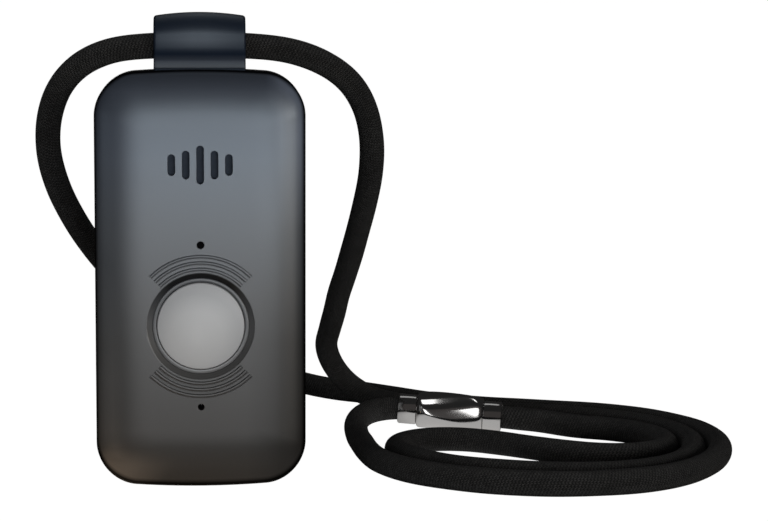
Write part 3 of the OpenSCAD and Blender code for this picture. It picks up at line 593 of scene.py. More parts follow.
# %% [markdown]
# A cubic curve runs through the points, with slopes taken from their neighbours. It is sampled at even
# steps, and a moving average takes out the last unevenness. A Blender curve would be as smooth, but the
# same points are needed as numbers: they place the rings of the tube.

# %% smooth curve
ROUTE_STEP = 0.25
FINE_STEP = 0.05
EASE = 2.0


def distance_along(points):
    """Distance of each point from the first one, along the line through them."""
    return np.concatenate([[0], np.cumsum(np.linalg.norm(np.diff(points, axis=0), axis=1))])


def even(curve):
    """The same curve with points at even distances."""
    at = distance_along(curve)
    want = np.linspace(0, at[-1], int(round(at[-1] / ROUTE_STEP)) + 1)
    return np.stack([np.interp(want, at, curve[:, i]) for i in range(3)], -1)


def smooth_route(points):
    """A cubic curve through the points, sampled at even steps and eased by a short moving average."""
    points = np.array(points, float)
    at = distance_along(points)
    slope = np.gradient(points, at, axis=0)
    fine = np.linspace(0, at[-1], int(at[-1] / FINE_STEP))
    k = np.clip(np.searchsorted(at, fine, side="right") - 1, 0, len(at) - 2)
    span = (at[k + 1] - at[k])[:, None]
    t = ((fine - at[k])[:, None]) / span
    curve = ((2 * t**3 - 3 * t**2 + 1) * points[k] + (t**3 - 2 * t**2 + t) * span * slope[k]
             + (-2 * t**3 + 3 * t**2) * points[k + 1] + (t**3 - t**2) * span * slope[k + 1])
    curve = even(curve)
    width = int(3 * EASE / ROUTE_STEP)
    weight = np.exp(-0.5 * (np.arange(-width, width + 1) * ROUTE_STEP / EASE) ** 2)
    weight = weight / weight.sum()
    ends = np.concatenate([2 * curve[0] - curve[width:0:-1], curve, 2 * curve[-1] - curve[-2:-width - 2:-1]])
    eased = np.stack([np.convolve(ends[:, i], weight, "valid") for i in range(3)], -1)
    return even(eased)


socket_mouth = CLASP_AT + CLASP_U * CLASP_L
plug_end = [tuple(CLASP_AT), tuple(CLASP_AT + CLASP_U * CORD_GRIP)]
socket_end = [tuple(socket_mouth + CLASP_U * reach) for reach in (5, 0, -CORD_GRIP)]
left_route = smooth_route(LEFT_LEG + OUTER_LOOP[1:] + TAIL[1:] + plug_end)
right_route = smooth_route(RIGHT_LEG + INNER_LOOPS[1:] + socket_end)
tail_start = int(np.argmin(np.linalg.norm(left_route - np.array(OUTER_LOOP[-1]), axis=1)))
print("left run", len(left_route) * ROUTE_STEP, "mm, right run", len(right_route) * ROUTE_STEP, "mm")

# %% [markdown]
# A curve with a round bevel would also make a tube, but its UV map wouldn't count stitches. Here each ring
# has 48 points, on two side directions that are carried along the route without twist, so that the columns
# of the knit run straight. A slow, small swelling keeps the knit from looking machined. The left run is cut
# where the tail begins.

# %% lanyard tubes
SIDES = 48
RING_EVERY = 3
COLUMNS = 24
STITCH = 0.66
KNIT_GROW = 1.03
KNIT_SWELL = 0.01
KNIT_HELD = 0.985
HELD_EASE = 4.0


def carried_sides(path):
    """Two side directions without twist: each step takes out the part that lies along the path."""
    tangent = np.gradient(path, axis=0)
    tangent /= np.linalg.norm(tangent, axis=1)[:, None]
    side = np.array([0.1, 0.2, 1.0])
    sides = []
    for t in tangent:
        side = side - (side @ t) * t
        side = side / np.linalg.norm(side)
        sides.append(side)
    return np.array(sides), np.cross(tangent, np.array(sides))


def knitted_tube(name, route, sideways, start, stop, to_clasp):
    """Circles on the two side directions along a stretch of a route, with columns and stitches as UV."""
    picked = np.unique(np.concatenate([np.arange(start, stop + 1, RING_EVERY), [stop]]))
    side, other = (way[picked][:, None, :] for way in sideways)
    turn = full_turn(SIDES)[None, :, None]
    at = picked * ROUTE_STEP
    rows = len(picked)
    swell = KNIT_GROW + KNIT_SWELL * np.sin(at * 0.31) * np.sin(at * 0.083 + 1.0)
    held = np.clip((at[-1] - at) / HELD_EASE - 0.9, 0, 1) if to_clasp else np.ones(rows)
    radius = CORD_R * (KNIT_HELD + (swell - KNIT_HELD) * held)
    ring = np.cos(turn) * side + np.sin(turn) * other
    points = route[picked][:, None, :] + radius[:, None, None] * ring
    obj = make_object(name, points.reshape(-1, 3), tube_faces(rows, SIDES))
    uv = obj.data.uv_layers.new(name="stitches")
    along = np.arange(rows - 1)[:, None] * np.ones(SIDES)[None, :]
    round_it = np.ones(rows - 1)[:, None] * np.arange(SIDES)[None, :]
    corners = []
    for di, dk in ((0, 0), (0, 1), (1, 1), (1, 0)):
        u = (round_it + dk) * COLUMNS / SIDES
        v = at[(along + di).astype(int)] / STITCH
        corners.append(np.stack([u, v], -1))
    quads = np.stack(corners, 2).reshape(-1, 2)
    caps = np.zeros((2 * SIDES, 2))
    uv.data.foreach_set("uv", np.concatenate([quads, caps]).astype(np.float32).ravel())
    smooth(obj, 60)
    return obj, route[picked]


left_sides = carried_sides(left_route)
right_sides = carried_sides(right_route)
left_end = len(left_route) - 1
right_end = len(right_route) - 1
left_run, left_path = knitted_tube("lanyard_left_run", left_route, left_sides, 0, tail_start, False)
tail, tail_path = knitted_tube("lanyard_tail_run", left_route, left_sides, tail_start, left_end, True)
right_run, right_path = knitted_tube("lanyard_right_run", right_route, right_sides, 0, right_end, True)
settle(left_run, "pendant", knit_mat, ["lanyard_left_leg", "lanyard_outer_loop"])
settle(right_run, "pendant", knit_mat, ["lanyard_right_leg", "lanyard_inner_loops"])
tail.data.materials.append(knit_mat)
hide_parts("lanyard_tail")
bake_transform(tail)
print("lanyard quads:", sum(len(o.data.polygons) for o in (left_run, tail, right_run)))

# %% [markdown]
# ## Clasp
# The clasp is of polished steel: two plain end rings with a twisted barrel between them, which pulls apart
# at the left ring. Cylinders with bevels could stand for the rings. Here they are turned about the clasp's
# own axis, because one profile then gives the rounded edges and the bore for the lanyard. The plug's ring
# also carries a spigot, which shows when the clasp opens.

# %% clasp rings
RING_R = 3.3
SPIGOT_R = 2.6
SPIGOT_L = 5.0
SPIGOT_END = RING_L + SPIGOT_L
CORD_BORE_R = 2.55
MAGNET_R = 1.9
AXIS_R = 0.01
EDGE = 0.35
RING_PROFILE = [(AXIS_R, CORD_GRIP + 0.1), (CORD_BORE_R, CORD_GRIP + 0.1), (CORD_BORE_R, 0.25),
                (CORD_BORE_R + 0.15, 0.0), (RING_R - EDGE, 0.0), (RING_R - 0.1, 0.1), (RING_R, EDGE),
                (RING_R, RING_L - EDGE), (RING_R - 0.1, RING_L - 0.1), (RING_R - EDGE, RING_L)]


def outward(obj):
    """Turns all faces of a closed mesh outward."""
    bm = bmesh.new()
    bm.from_mesh(obj.data)
    bmesh.ops.remove_doubles(bm, verts=bm.verts, dist=1e-7)
    bmesh.ops.recalc_face_normals(bm, faces=bm.faces)
    bm.to_mesh(obj.data)
    bm.free()


def tube(name, rings, loop=False, scale=MM):
    """A closed solid through rings of points."""
    obj = make_object(name, np.concatenate(rings), tube_faces(len(rings), len(rings[0]), loop), scale)
    outward(obj)
    return obj


def on_clasp(points):
    """Points of the clasp's own frame, whose Z is its axis, in the shared frame."""
    return CLASP_AT + np.asarray(points) @ CLASP_AXES.T


def clasp_ring(radius, turn, t):
    """Points round the clasp's axis at a distance t along it."""
    return on_clasp(np.stack([radius * np.cos(turn), radius * np.sin(turn), np.full(len(turn), t)], -1))


def clasp_lathe(name, profile, sides=96):
    """A piece turned about the clasp's axis, from (radius, distance along the axis) pairs."""
    obj = tube(name, [clasp_ring(r, full_turn(sides), t) for r, t in profile], loop=True)
    smooth(obj, 40)
    return obj


plug = clasp_lathe("clasp_plug_shell", RING_PROFILE + [
    (SPIGOT_R, RING_L), (SPIGOT_R, SPIGOT_END - 0.2), (SPIGOT_R - 0.2, SPIGOT_END), (MAGNET_R, SPIGOT_END),
    (MAGNET_R, SPIGOT_END - 1.5), (AXIS_R, SPIGOT_END - 1.5)])
print("plug faces:", len(plug.data.polygons))

# %% [markdown]
# The barrel's section has three large arcs, cut back to a circle at the ridges, and turns a sixth of a
# circle from end to end. An extrusion with a twist could make it, but its ridges would be knife edges. A
# smooth minimum eases the arcs together, so that each ridge catches a soft highlight, and draws the section
# in at both ends.

# %% clasp barrel
RIDGE_R = 4.6
RIDGE_MEET = 4.7
FLAT_R = 3.7
BARREL_TURN = 60
BARREL_START = -35
BARREL_SIDES = 120
BARREL_STEPS = 72
BARREL_GAP = 0.05
END_RISE = 1.15
END_REACH = 4.0
RIDGE_EASE = 7.0
END_EASE = 8


def section_radius(angle):
    """Reach of the barrel's section at each angle: three offset arcs and the ridge circle, eased together."""
    offset = (RIDGE_MEET**2 - FLAT_R**2) / (2 * FLAT_R - RIDGE_MEET)
    reach = []
    for lobe in (0, 120, 240):
        toward = -offset * np.cos(angle - math.radians(lobe))
        reach.append(toward + np.sqrt(toward**2 - offset**2 + (FLAT_R + offset) ** 2))
    reach = np.concatenate([np.array(reach), np.full((1, len(angle)), RIDGE_R)])
    return -np.log(np.exp(-RIDGE_EASE * reach).sum(0)) / RIDGE_EASE + 0.01


def barrel():
    """Twisted rings: the section turns with the distance along the axis and is drawn in at both ends."""
    angle = full_turn(BARREL_SIDES)
    rings = []
    for share in np.linspace(0, 1, BARREL_STEPS + 1):
        radius = section_radius(angle)
        near = min(share, 1 - share) * BARREL_L
        rise = math.sqrt(max(0.0, 1 - (1 - min(1.0, near / END_REACH)) ** 2))
        limit = RING_R + 0.05 + END_RISE * rise
        radius = -np.log(np.exp(-END_EASE * radius) + np.exp(-END_EASE * limit)) / END_EASE
        turn = angle + math.radians(BARREL_START + BARREL_TURN * share)
        rings.append(clasp_ring(radius, turn, RING_L + BARREL_GAP + share * (BARREL_L - BARREL_GAP)))
    end = RING_L + BARREL_L + 0.02
    inside = [(RING_R - EDGE, end), (AXIS_R, end), (AXIS_R, SPIGOT_END + 1.9), (MAGNET_R, SPIGOT_END + 1.9),
              (MAGNET_R, SPIGOT_END + 0.3), (SPIGOT_R + 0.05, SPIGOT_END + 0.3),
              (SPIGOT_R + 0.05, RING_L + 0.25), (SPIGOT_R + 0.25, RING_L + BARREL_GAP)]
    for r, t in inside:
        rings.append(clasp_ring(r, turn, t))
    obj = tube("clasp_socket_barrel", rings, loop=True)
    smooth(obj, 40)
    return obj


socket = barrel()
end_ring = clasp_lathe("clasp_socket_ring", [(AXIS_R, CLASP_L - RING_L)]
                       + [(r, CLASP_L - t) for r, t in RING_PROFILE[::-1]])
settle(end_ring, "pendant", clasp_mat)
settle(plug, "clasp_end", clasp_mat, ["clasp_plug"])
settle(socket, "pendant", clasp_mat, ["clasp_socket"])
print("barrel faces:", len(socket.data.polygons))

# %% [markdown]
# The lengths of the three runs are measured along their paths.

# %% cords


def run_length(path):
    """Length of a path in metres."""
    return float(np.linalg.norm(np.diff(path, axis=0), axis=1).sum()) * MM


print("lanyard lengths:", [round(run_length(p), 3) for p in (left_path, tail_path, right_path)])

# %% [markdown]
# ## Shells
# The body is two moulded shells that meet at a parting line. A cube with bevels comes close, but the slow
# fall of the pillow front is hard to steer that way. So both shells are lofts through rounded outlines. On
# the front, the face falls away slowly at first and then steeply to the side wall, and the inner wall comes
# back the same way.

# %% shell outlines
PILLOW_W = 11.0
PILLOW_D = 4.0
PILLOW_POWER = 2.5
BACK_EDGE_W = 4.0
BACK_EDGE_D = 3.0


def arc(centre, radius, start, end, steps):
    """Points of a circular arc: the centre plus radius times cosine and sine, with angles in degrees."""
    turn = np.radians(np.linspace(start, end, steps + 1))
    return np.array(centre) + radius * np.stack([np.cos(turn), np.sin(turn)], -1)


def outline(inset, radius):
    """Four corner arcs and straight sides, drawn in by inset, with top and bottom raised by a parabola."""
    half_w = BODY_W / 2 - inset
    half_h = BODY_H / 2 - CROWN_H - inset
    straight = np.linspace(1, -1, 14)[1:-1]
    parts = []
    for sx, sz, start in ((1, 1, 0), (-1, 1, 90), (-1, -1, 180), (1, -1, 270)):
        parts.append(arc((sx * (half_w - radius), sz * (half_h - radius)), radius, start, start + 90, 20))
        if start in (0, 180):
            side = (sx * straight * (half_w - radius), np.full(len(straight), sz * half_h))
        else:
            side = (np.full(len(straight), sx * half_w), sz * straight * (half_h - radius))
        parts.append(np.stack(side, -1))
    points = np.concatenate(parts)
    crown = CROWN_H * (1 - (points[:, 0] / (BODY_W / 2)) ** 2)
    return np.stack([points[:, 0], BODY_H / 2 + points[:, 1] + np.sign(points[:, 1]) * crown], -1)


def level(y, inset, radius):
    """One outline of a loft, at depth y."""
    flat = outline(inset, radius)
    return np.stack([flat[:, 0], np.full(len(flat), y), flat[:, 1]], -1)


def loft(name, levels):
    """A closed solid through outlines, kept in millimetres for the cutting."""
    return tube(name, levels, scale=1.0)


def pillow(shift, grow, steps=22):
    """Outlines on a curve from face to side wall, shallow at first, set back by shift, drawn in by grow."""
    levels = []
    for share in np.linspace(0, 1, steps + 1):
        across = math.sin(share * math.pi / 2)
        inset = PILLOW_W * (1 - across)
        depth = PILLOW_D * (1 - (1 - across**PILLOW_POWER) ** 0.5)
        levels.append(level(FACE_Y + shift + depth, inset + grow, CORNER_R - 0.62 * inset - 0.6 * grow))
    return levels


def back_round(shift, grow, steps=14):
    """Outlines on a quarter ellipse from side wall to back, brought forward by shift, drawn in by grow."""
    levels = []
    for a in np.radians(np.linspace(0, 90, steps + 1)):
        inset = BACK_EDGE_W * (1 - math.cos(a))
        depth = BACK_EDGE_D * (1 - math.sin(a))
        levels.append(level(BACK_Y - shift - depth, inset + grow, CORNER_R - 0.8 * inset - 0.6 * grow))
    return levels


print("points of an outline:", len(outline(0, CORNER_R)))

# %% [markdown]
# Slots, holes, the button's dish and fine grooves beside the ribs are cut into the front. A bevel after the
# cut is hard to control on a curved face, so each cutter is a closed solid of its own. Those of the slots
# and holes flare at the face, which leaves a rounded lip. The ribs are bars bent round the button.

# %% cutters
LIP = 0.06
SLOT_PITCH = 2.84
SLOT_W = 1.46
SLOT_LENGTHS = {0: 7.6, 1: 5.6, 2: 4.2}
SLOT_Z = BODY_H - 18.65
RIB_R = 11.45
RIB_PITCH = 1.28
RIB_W = 0.65
RIB_HALF_ANGLE = 45
INNER_Y = FACE_Y + WALL + 0.2
DISH_D = 0.8


def lip_levels(lip, deep):
    """(depth, growth) pairs of a cutter: straight above the face, a rounded lip, then straight down."""
    turn = np.radians(np.linspace(0, 90, 7))
    rounded = [(FACE_Y + lip * (1 - math.cos(a)), lip * (1 - math.sin(a))) for a in turn]
    return [(FACE_Y - 1, lip), *rounded, (deep, 0.0)]


def slot_cutter(x, length):
    """A stadium-shaped cutter with a flared lip."""
    half = (length - SLOT_W) / 2
    levels = []
    for y, grow in lip_levels(LIP, INNER_Y + 1):
        ends = np.concatenate([arc((x, SLOT_Z + half), SLOT_W / 2 + grow, 0, 180, 16),
                               arc((x, SLOT_Z - half), SLOT_W / 2 + grow, 180, 360, 16)])
        levels.append(np.stack([ends[:, 0], np.full(len(ends), y), ends[:, 1]], -1))
    return loft("cutter", levels)


def lathe(name, profile, centre, sides, scale=MM, loop=False):
    """A solid turned about a line parallel to Y: (radius, y) pairs carried round the centre."""
    turn = full_turn(sides)
    radius, y = np.array(profile, float).T[:, :, None]
    x = centre[0] + radius * np.cos(turn)
    z = centre[1] + radius * np.sin(turn)
    return tube(name, np.stack([x, np.broadcast_to(y, x.shape), z], -1), loop, scale)


def hole_cutter(z, radius, lip, deep):
    """A round cutter with a flared lip."""
    return lathe("cutter", [(radius + grow, y) for y, grow in lip_levels(lip, deep)], (0, z), 48, 1.0)


def dish_cutter():
    """The dish: a rounded lip, a cone, and the bore that holds the collar."""
    profile = [(DISH_R + 0.2, FACE_Y - 1), (DISH_R + 0.2, FACE_Y), (DISH_R + 0.07, FACE_Y + 0.03),
               (DISH_R - 0.05, FACE_Y + 0.12), (COLLAR_R + 0.05, FACE_Y + DISH_D),
               (COLLAR_R + 0.05, INNER_Y + 3)]
    return lathe("cutter", profile, (0, BUTTON_Z), 160, 1.0)


def rib_band(name, place, width, span, low, high, ease=0.0):
    """A bar bent round the button: its section is a rectangle whose outer corners may be eased."""
    radius, middle = place
    half = width / 2
    section = np.array([(-half, low), (-half, high + ease), (-half + ease, high), (half - ease, high),
                        (half, high + ease), (half, low)])
    turn = np.radians(np.linspace(middle - span, middle + span, 61))[:, None]
    x = np.cos(turn) * (radius + section[:, 0])
    z = BUTTON_Z + np.sin(turn) * (radius + section[:, 0])
    return tube(name, np.stack([x, np.broadcast_to(section[:, 1], x.shape), z], -1), scale=1.0)


RIB_PLACES = [(RIB_R + i * RIB_PITCH, middle) for middle in (90, 270) for i in range(3)]
print("slots:", 2 * len(SLOT_LENGTHS) - 1, "ribs:", len(RIB_PLACES))

# %% [markdown]
# The front shell is one skin: the pillow outside, the rim at the parting line and the inner wall. Exact
# booleans take the cutters away, because they leave a closed mesh. The shell is cut in millimetres and then
# brought to metres. Face-weighted normals keep the flats from looking dented beside the cuts.

# %% front shell
PART_EDGE = 0.14
RIB_GROOVE = 0.13
RIB_GROOVE_D = 0.25
HOLE_REACH = 16.25
LAMP_HOLE_R = 0.73
MICROPHONE_HOLE_R = 0.63
HOLE_LIP = 0.1


def cut(obj, cutters):
    """Removes each cutter from the solid, in millimetres, and then brings the solid to metres."""
    for cutter in cutters:
        modifier = obj.modifiers.new("cut", "BOOLEAN")
        modifier.operation = "DIFFERENCE"
        modifier.solver = "EXACT"
        modifier.object = cutter
    bpy.context.view_layer.update()
    made = bpy.data.meshes.new_from_object(obj.evaluated_get(bpy.context.evaluated_depsgraph_get()))
    obj.modifiers.clear()
    obj.data = made
    made.transform(Matrix.Scale(MM, 4))
    for cutter in cutters:
        bpy.data.objects.remove(cutter)
    return obj


def even_shading(obj):
    """Face-weighted normals, so that flats stay flat beside rounded edges."""
    modifier = obj.modifiers.new("even shading", "WEIGHTED_NORMAL")
    modifier.keep_sharp = True


RIM_LEVEL = level(PART_Y, PART_EDGE, CORNER_R)
WALL_LEVEL = level(PART_Y, WALL, CORNER_R - 0.96)
front_levels = pillow(0, 0) + [level(PART_Y - PART_EDGE, 0, CORNER_R), RIM_LEVEL, WALL_LEVEL]
front_solid = loft("front_shell_skin", front_levels + pillow(WALL + 0.2, WALL)[::-1])
front_cutters = [slot_cutter(i * SLOT_PITCH, SLOT_LENGTHS[abs(i)]) for i in range(-2, 3)]
front_cutters.append(hole_cutter(BUTTON_Z + HOLE_REACH, LAMP_HOLE_R, HOLE_LIP, INNER_Y + 1))
front_cutters.append(hole_cutter(BUTTON_Z - HOLE_REACH, MICROPHONE_HOLE_R, HOLE_LIP, INNER_Y + 1))
front_cutters.append(dish_cutter())
for place in RIB_PLACES:
    front_cutters.append(rib_band("cutter", place, RIB_W + 2 * RIB_GROOVE, RIB_HALF_ANGLE + 0.6,
                                  FACE_Y + RIB_GROOVE_D, FACE_Y - 1))
front_shell = cut(front_solid, front_cutters)
smooth(front_shell, 32)
even_shading(front_shell)
settle(front_shell, "pendant", front_mat, ["front_shell"])
print("front shell faces:", len(front_shell.data.polygons))

# %% [markdown]
# Six raised ribs round the button let a thumb find it. A boolean could join them to the skin, but as a
# piece of their own they keep clean faces, and the narrow groove round each sets it off.

# %% ribs


def join_pieces(objects, name):
    """Joins meshes into the first one."""
    bpy.ops.object.select_all(action="DESELECT")
    for o in objects:
        o.select_set(True)
    bpy.context.view_layer.objects.active = objects[0]
    bpy.ops.object.join()
    objects[0].name = name
    return objects[0]


rib_bars = [rib_band("rib", place, RIB_W, RIB_HALF_ANGLE, FACE_Y + 0.4, FACE_Y - RIB_H, 0.07)
            for place in RIB_PLACES]
ribs = join_pieces(rib_bars, "tactile_ribs")
ribs.data.transform(Matrix.Scale(MM, 4))
smooth(ribs, 50)
even_shading(ribs)
settle(ribs, "pendant", front_mat)
print("rib faces:", len(ribs.data.polygons))

# %% [markdown]
# The back can't be seen in the photograph. Such pendants have a flat back with rounded edges, so the rear
# shell is a loft like the front, cut in the same way: four screw wells, two contact holes and a notch for
# the bail's foot.

# %% rear shell
rear_levels = back_round(0, 0)[::-1] + [level(PART_Y + PART_EDGE, 0, CORNER_R), RIM_LEVEL, WALL_LEVEL]
rear_solid = loft("rear_shell_skin", rear_levels + back_round(WALL, WALL))
SCREW_X = BODY_W / 2 - 4.8
SCREW_Z = 7.5
SCREW_WELL_R = 1.7
CONTACT_X = 4.0
CONTACT_Z = 8.0
CONTACT_HOLE_R = 1.9


def back_hole(x, z, radius, lip=0.15):
    """A round cutter from behind, with a flared lip."""
    turn = np.radians(np.linspace(0, 90, 5))
    rounded = [(radius + lip * (1 - math.sin(a)), BACK_Y - lip * (1 - math.cos(a))) for a in turn]
    profile = [(radius + lip, BACK_Y + 1), *rounded, (radius, BACK_Y - WALL - 1)]
    return lathe("cutter", profile, (x, z), 48, 1.0)


def box_cutter(low, high):
    """A plain box between two corners, for a hidden notch."""
    corners = [(x, y, z) for x in (low[0], high[0]) for y in (low[1], high[1]) for z in (low[2], high[2])]
    faces = [(0, 1, 3, 2), (4, 6, 7, 5), (0, 4, 5, 1), (2, 3, 7, 6), (0, 2, 6, 4), (1, 5, 7, 3)]
    obj = make_object("cutter", corners, faces, 1.0)
    outward(obj)
    return obj


FOOT_X = 7.0
FOOT_Y = (1.05, 4.2)
rear_cutters = [back_hole(s * SCREW_X, z, SCREW_WELL_R) for s in (-1, 1) for z in (SCREW_Z, BODY_H - SCREW_Z)]
rear_cutters += [back_hole(s * CONTACT_X, CONTACT_Z, CONTACT_HOLE_R) for s in (-1, 1)]
rear_cutters.append(box_cutter((-FOOT_X - 0.1, PART_Y - 1, BODY_H - WALL - 3),
                               (FOOT_X + 0.1, FOOT_Y[1] + 0.1, BODY_H + 1)))
rear_shell = cut(rear_solid, rear_cutters)
smooth(rear_shell, 32)
even_shading(rear_shell)
settle(rear_shell, "pendant", rear_mat, ["rear_shell"])
print("rear shell faces:", len(rear_shell.data.polygons))

# %% [markdown]
# ## Button and collar
# The call button is a shallow dome with a small round edge, and a thin collar stands round it in the dish,
# with a hairline gap. A part of a sphere would give the dome alone. Both pieces are turned instead: one
# profile of radius and depth, carried round the button's axis, gives the dome, the edge and the stem.

# %% button and collar
STEM_R = 1.5
DOME_APEX = FACE_Y - 0.2
DOME_H = 0.8
CAP_EDGE = 0.3


def dome_y(radius):
    """Depth of the dome at a distance from its centre: a sphere through its apex and its rim."""
    sphere = (BUTTON_R**2 + DOME_H**2) / (2 * DOME_H)
    return DOME_APEX + sphere - math.sqrt(sphere**2 - radius**2)


rim = dome_y(BUTTON_R - CAP_EDGE)
button_profile = [(r, dome_y(r)) for r in np.linspace(0.02, BUTTON_R - CAP_EDGE, 28)]
button_profile += [(BUTTON_R - CAP_EDGE + CAP_EDGE * math.sin(a), rim + CAP_EDGE * (1 - math.cos(a)))
                   for a in np.radians(np.linspace(15, 90, 7))]
button_profile += [(BUTTON_R, cap_high[1] - 2.1), (BUTTON_R, cap_high[1] - 1.9), (STEM_R, cap_high[1] - 1.3),
                   (STEM_R, cap_high[1])]
button = lathe("call_button_cap", button_profile, (0, BUTTON_Z), 160)
smooth(button, 40)
settle(button, "call_button", button_mat, ["button_cap"])

collar_top = FACE_Y + DISH_D
bore_r = BUTTON_R + 0.1
collar_back = node_box("button_bezel")[1][1]
collar = lathe("button_collar", [
    (bore_r, collar_back), (bore_r, collar_top + 0.12), (bore_r + 0.05, collar_top + 0.03),
    (bore_r + 0.14, collar_top), (COLLAR_R - 0.14, collar_top), (COLLAR_R - 0.04, collar_top + 0.04),
    (COLLAR_R, collar_top + 0.14), (COLLAR_R, collar_back - 0.8), (COLLAR_R + 1.9, collar_back - 0.8),
    (COLLAR_R + 1.9, collar_back)], (0, BUTTON_Z), 160, loop=True)
smooth(collar, 40)
settle(collar, "pendant", bezel_mat, ["button_bezel"])
print("button rim at", round(rim, 2), "collar top at", round(collar_top, 2))

# %% [markdown]
# Behind the real button, a rubber seal keeps water out and gives way when the button is pressed. A shape
# key could bend it, but a pose moves whole bodies. So the seal is two pieces: a clamped membrane that
# stays, and a post in its middle that goes with the button's stem.

# %% seal
seal_low, seal_high = node_box("button_seal")
SEAL_Y = cap_high[1] + 0.05
SEAL_T = 0.5
RIM_IN, RIM_OUT = seal_high[0] - 1.3, seal_high[0]
membrane = lathe("seal_membrane", [
    (STEM_R + 0.15, SEAL_Y), (RIM_IN, SEAL_Y), (RIM_IN, seal_low[1]), (RIM_OUT, seal_low[1]),
    (RIM_OUT, SEAL_Y + SEAL_T), (STEM_R + 0.15, SEAL_Y + SEAL_T)], (0, BUTTON_Z), 96, loop=True)
smooth(membrane, 40)
settle(membrane, "pendant", seal_mat, ["button_seal"])
post = lathe("seal_post", [(0.02, SEAL_Y), (STEM_R, SEAL_Y), (STEM_R, seal_high[1]), (0.02, seal_high[1])],
             (0, BUTTON_Z), 48, loop=True)
smooth(post, 40)
settle(post, "call_button", seal_mat)
print("seal from", round(seal_low[1], 2), "to", round(seal_high[1], 2))

# %% [markdown]
# ## Bail
# The bail is the arched tab on top, with an eye that the lanyard passes through. Its section is a loop on a
# neck that flares into the body's top. It is drawn from arcs, spaced evenly, and each point gets a partner
# on the eye in the same direction, so that the two outlines can be joined.

# %% bail section
EYE_Y = sum(FOOT_Y) / 2
EYE_Z = BODY_H + 4.5
EYE_TOP = EYE_Z + 2.45
EYE_R = 2.8
LOOP_R = 4.3
ARCH_R = 56
BAIL_EDGE = 0.55
FLARE_Z = BODY_H + 2.1
FLARE_R = 2.0


def even_loop(points, count):
    """Points at even distances round a closed outline."""
    ring = np.concatenate([points, points[:1]])
    at = distance_along(ring)
    want = np.linspace(0, at[-1], count, endpoint=False)
    return np.stack([np.interp(want, at, ring[:, i]) for i in range(2)], -1)


def bail_outline():
    """Front flare, neck, loop, and back flare, as points in Y and Z round the section."""
    front, back = FOOT_Y[0] - 3.6, FOOT_Y[1] + 1.8
    parts = [[(front + 0.2, BODY_H - 1.6)], arc((front, FLARE_Z), FLARE_R, -82, -18, 14),
             arc((EYE_Y, EYE_Z), LOOP_R, 219, 180, 12), arc((EYE_Y, EYE_TOP), LOOP_R, 180, 0, 56),
             arc((EYE_Y, EYE_Z), LOOP_R, 0, -39, 12), arc((back, FLARE_Z), FLARE_R, 198, 262, 14),
             [(back - 0.2, BODY_H - 1.6)]]
    return even_loop(np.concatenate(parts), 220)


def eye_outline(outer):
    """The eye's stadium outline: one point in the direction of each outer point, never turning back."""
    middle = np.array([EYE_Y, (EYE_Z + EYE_TOP) / 2])
    off = outer - middle
    turn = np.unwrap(np.arctan2(off[:, 1], off[:, 0]))
    turn = np.minimum.accumulate(turn)
    half = (EYE_TOP - EYE_Z) / 2
    c, s = np.cos(turn), np.sin(turn)
    to_side = EYE_R / np.maximum(np.abs(c), 1e-9)
    to_end = np.abs(s) * half + np.sqrt(np.maximum(0.0, EYE_R**2 - (c * half) ** 2))
    reach = np.where(np.abs(s) * to_side < half, to_side, to_end)
    return middle + reach[:, None] * np.stack([c, s], -1)


bail_section = bail_outline()
print("bail section points:", len(bail_section))

# %% [markdown]
# An extruded section would have flat ends and a straight top. So the section is carried across the width in
# many steps, its top on an arch and its foot straight. The ends are rounded by drawing the outline in and
# the eye out.

# %% bail loft


def loop_normals(points):
    """Unit normals of a closed outline, to the left of its direction."""
    along = np.roll(points, -1, 0) - np.roll(points, 1, 0)
    along /= np.maximum(np.linalg.norm(along, axis=1), 1e-9)[:, None]
    return np.stack([-along[:, 1], along[:, 0]], -1)


def arched(section, x):
    """A section carried to the place x of the arch: the top drops the most and the foot not at all."""
    drop = ARCH_R - math.sqrt(ARCH_R**2 - x * x)
    share = np.clip((section[:, 1] - BODY_H - 2) / (BAIL_TOP - BODY_H - 2), 0, 1)
    return np.stack([np.full(len(section), x), section[:, 0], section[:, 1] - drop * share], -1)


def bail():
    """Outer skin from end to end, end faces, then the eye's skin back again: one closed row of rings."""
    outer = bail_section
    eye = eye_outline(outer)
    outer_side = loop_normals(outer)
    eye_side = loop_normals(eye)
    ends = [(BAIL_HALF - BAIL_EDGE * (1 - math.sin(a)), BAIL_EDGE * (1 - math.cos(a)))
            for a in np.radians(np.linspace(90, 0, 8))]
    middle = [(x, 0.0) for x in np.linspace(-BAIL_HALF + 1.2, BAIL_HALF - 1.2, 15)]
    stations = sorted([(-x, d) for x, d in ends] + middle + ends)
    rings = [arched(outer - outer_side * d, x) for x, d in stations]
    rings += [arched(eye + eye_side * d * 0.8, x) for x, d in stations[::-1]]
    obj = tube("lanyard_bail_loop", rings, loop=True)
    smooth(obj, 40)
    return obj


bail_loop = bail()
settle(bail_loop, "pendant", bail_mat, ["lanyard_bail"])
print("bail faces:", len(bail_loop.data.polygons))

# %% [markdown]
# ## The carried-over CAD nodes
# The pieces inside and the small fittings are hidden or tiny. They could be rebuilt too, but little of that
# would be seen, so they keep their CAD shape and get a finish of their own: rubber, bright steel, board
# green, ceramic, gold plate. From the front, little more than the cloth behind the slots shows.

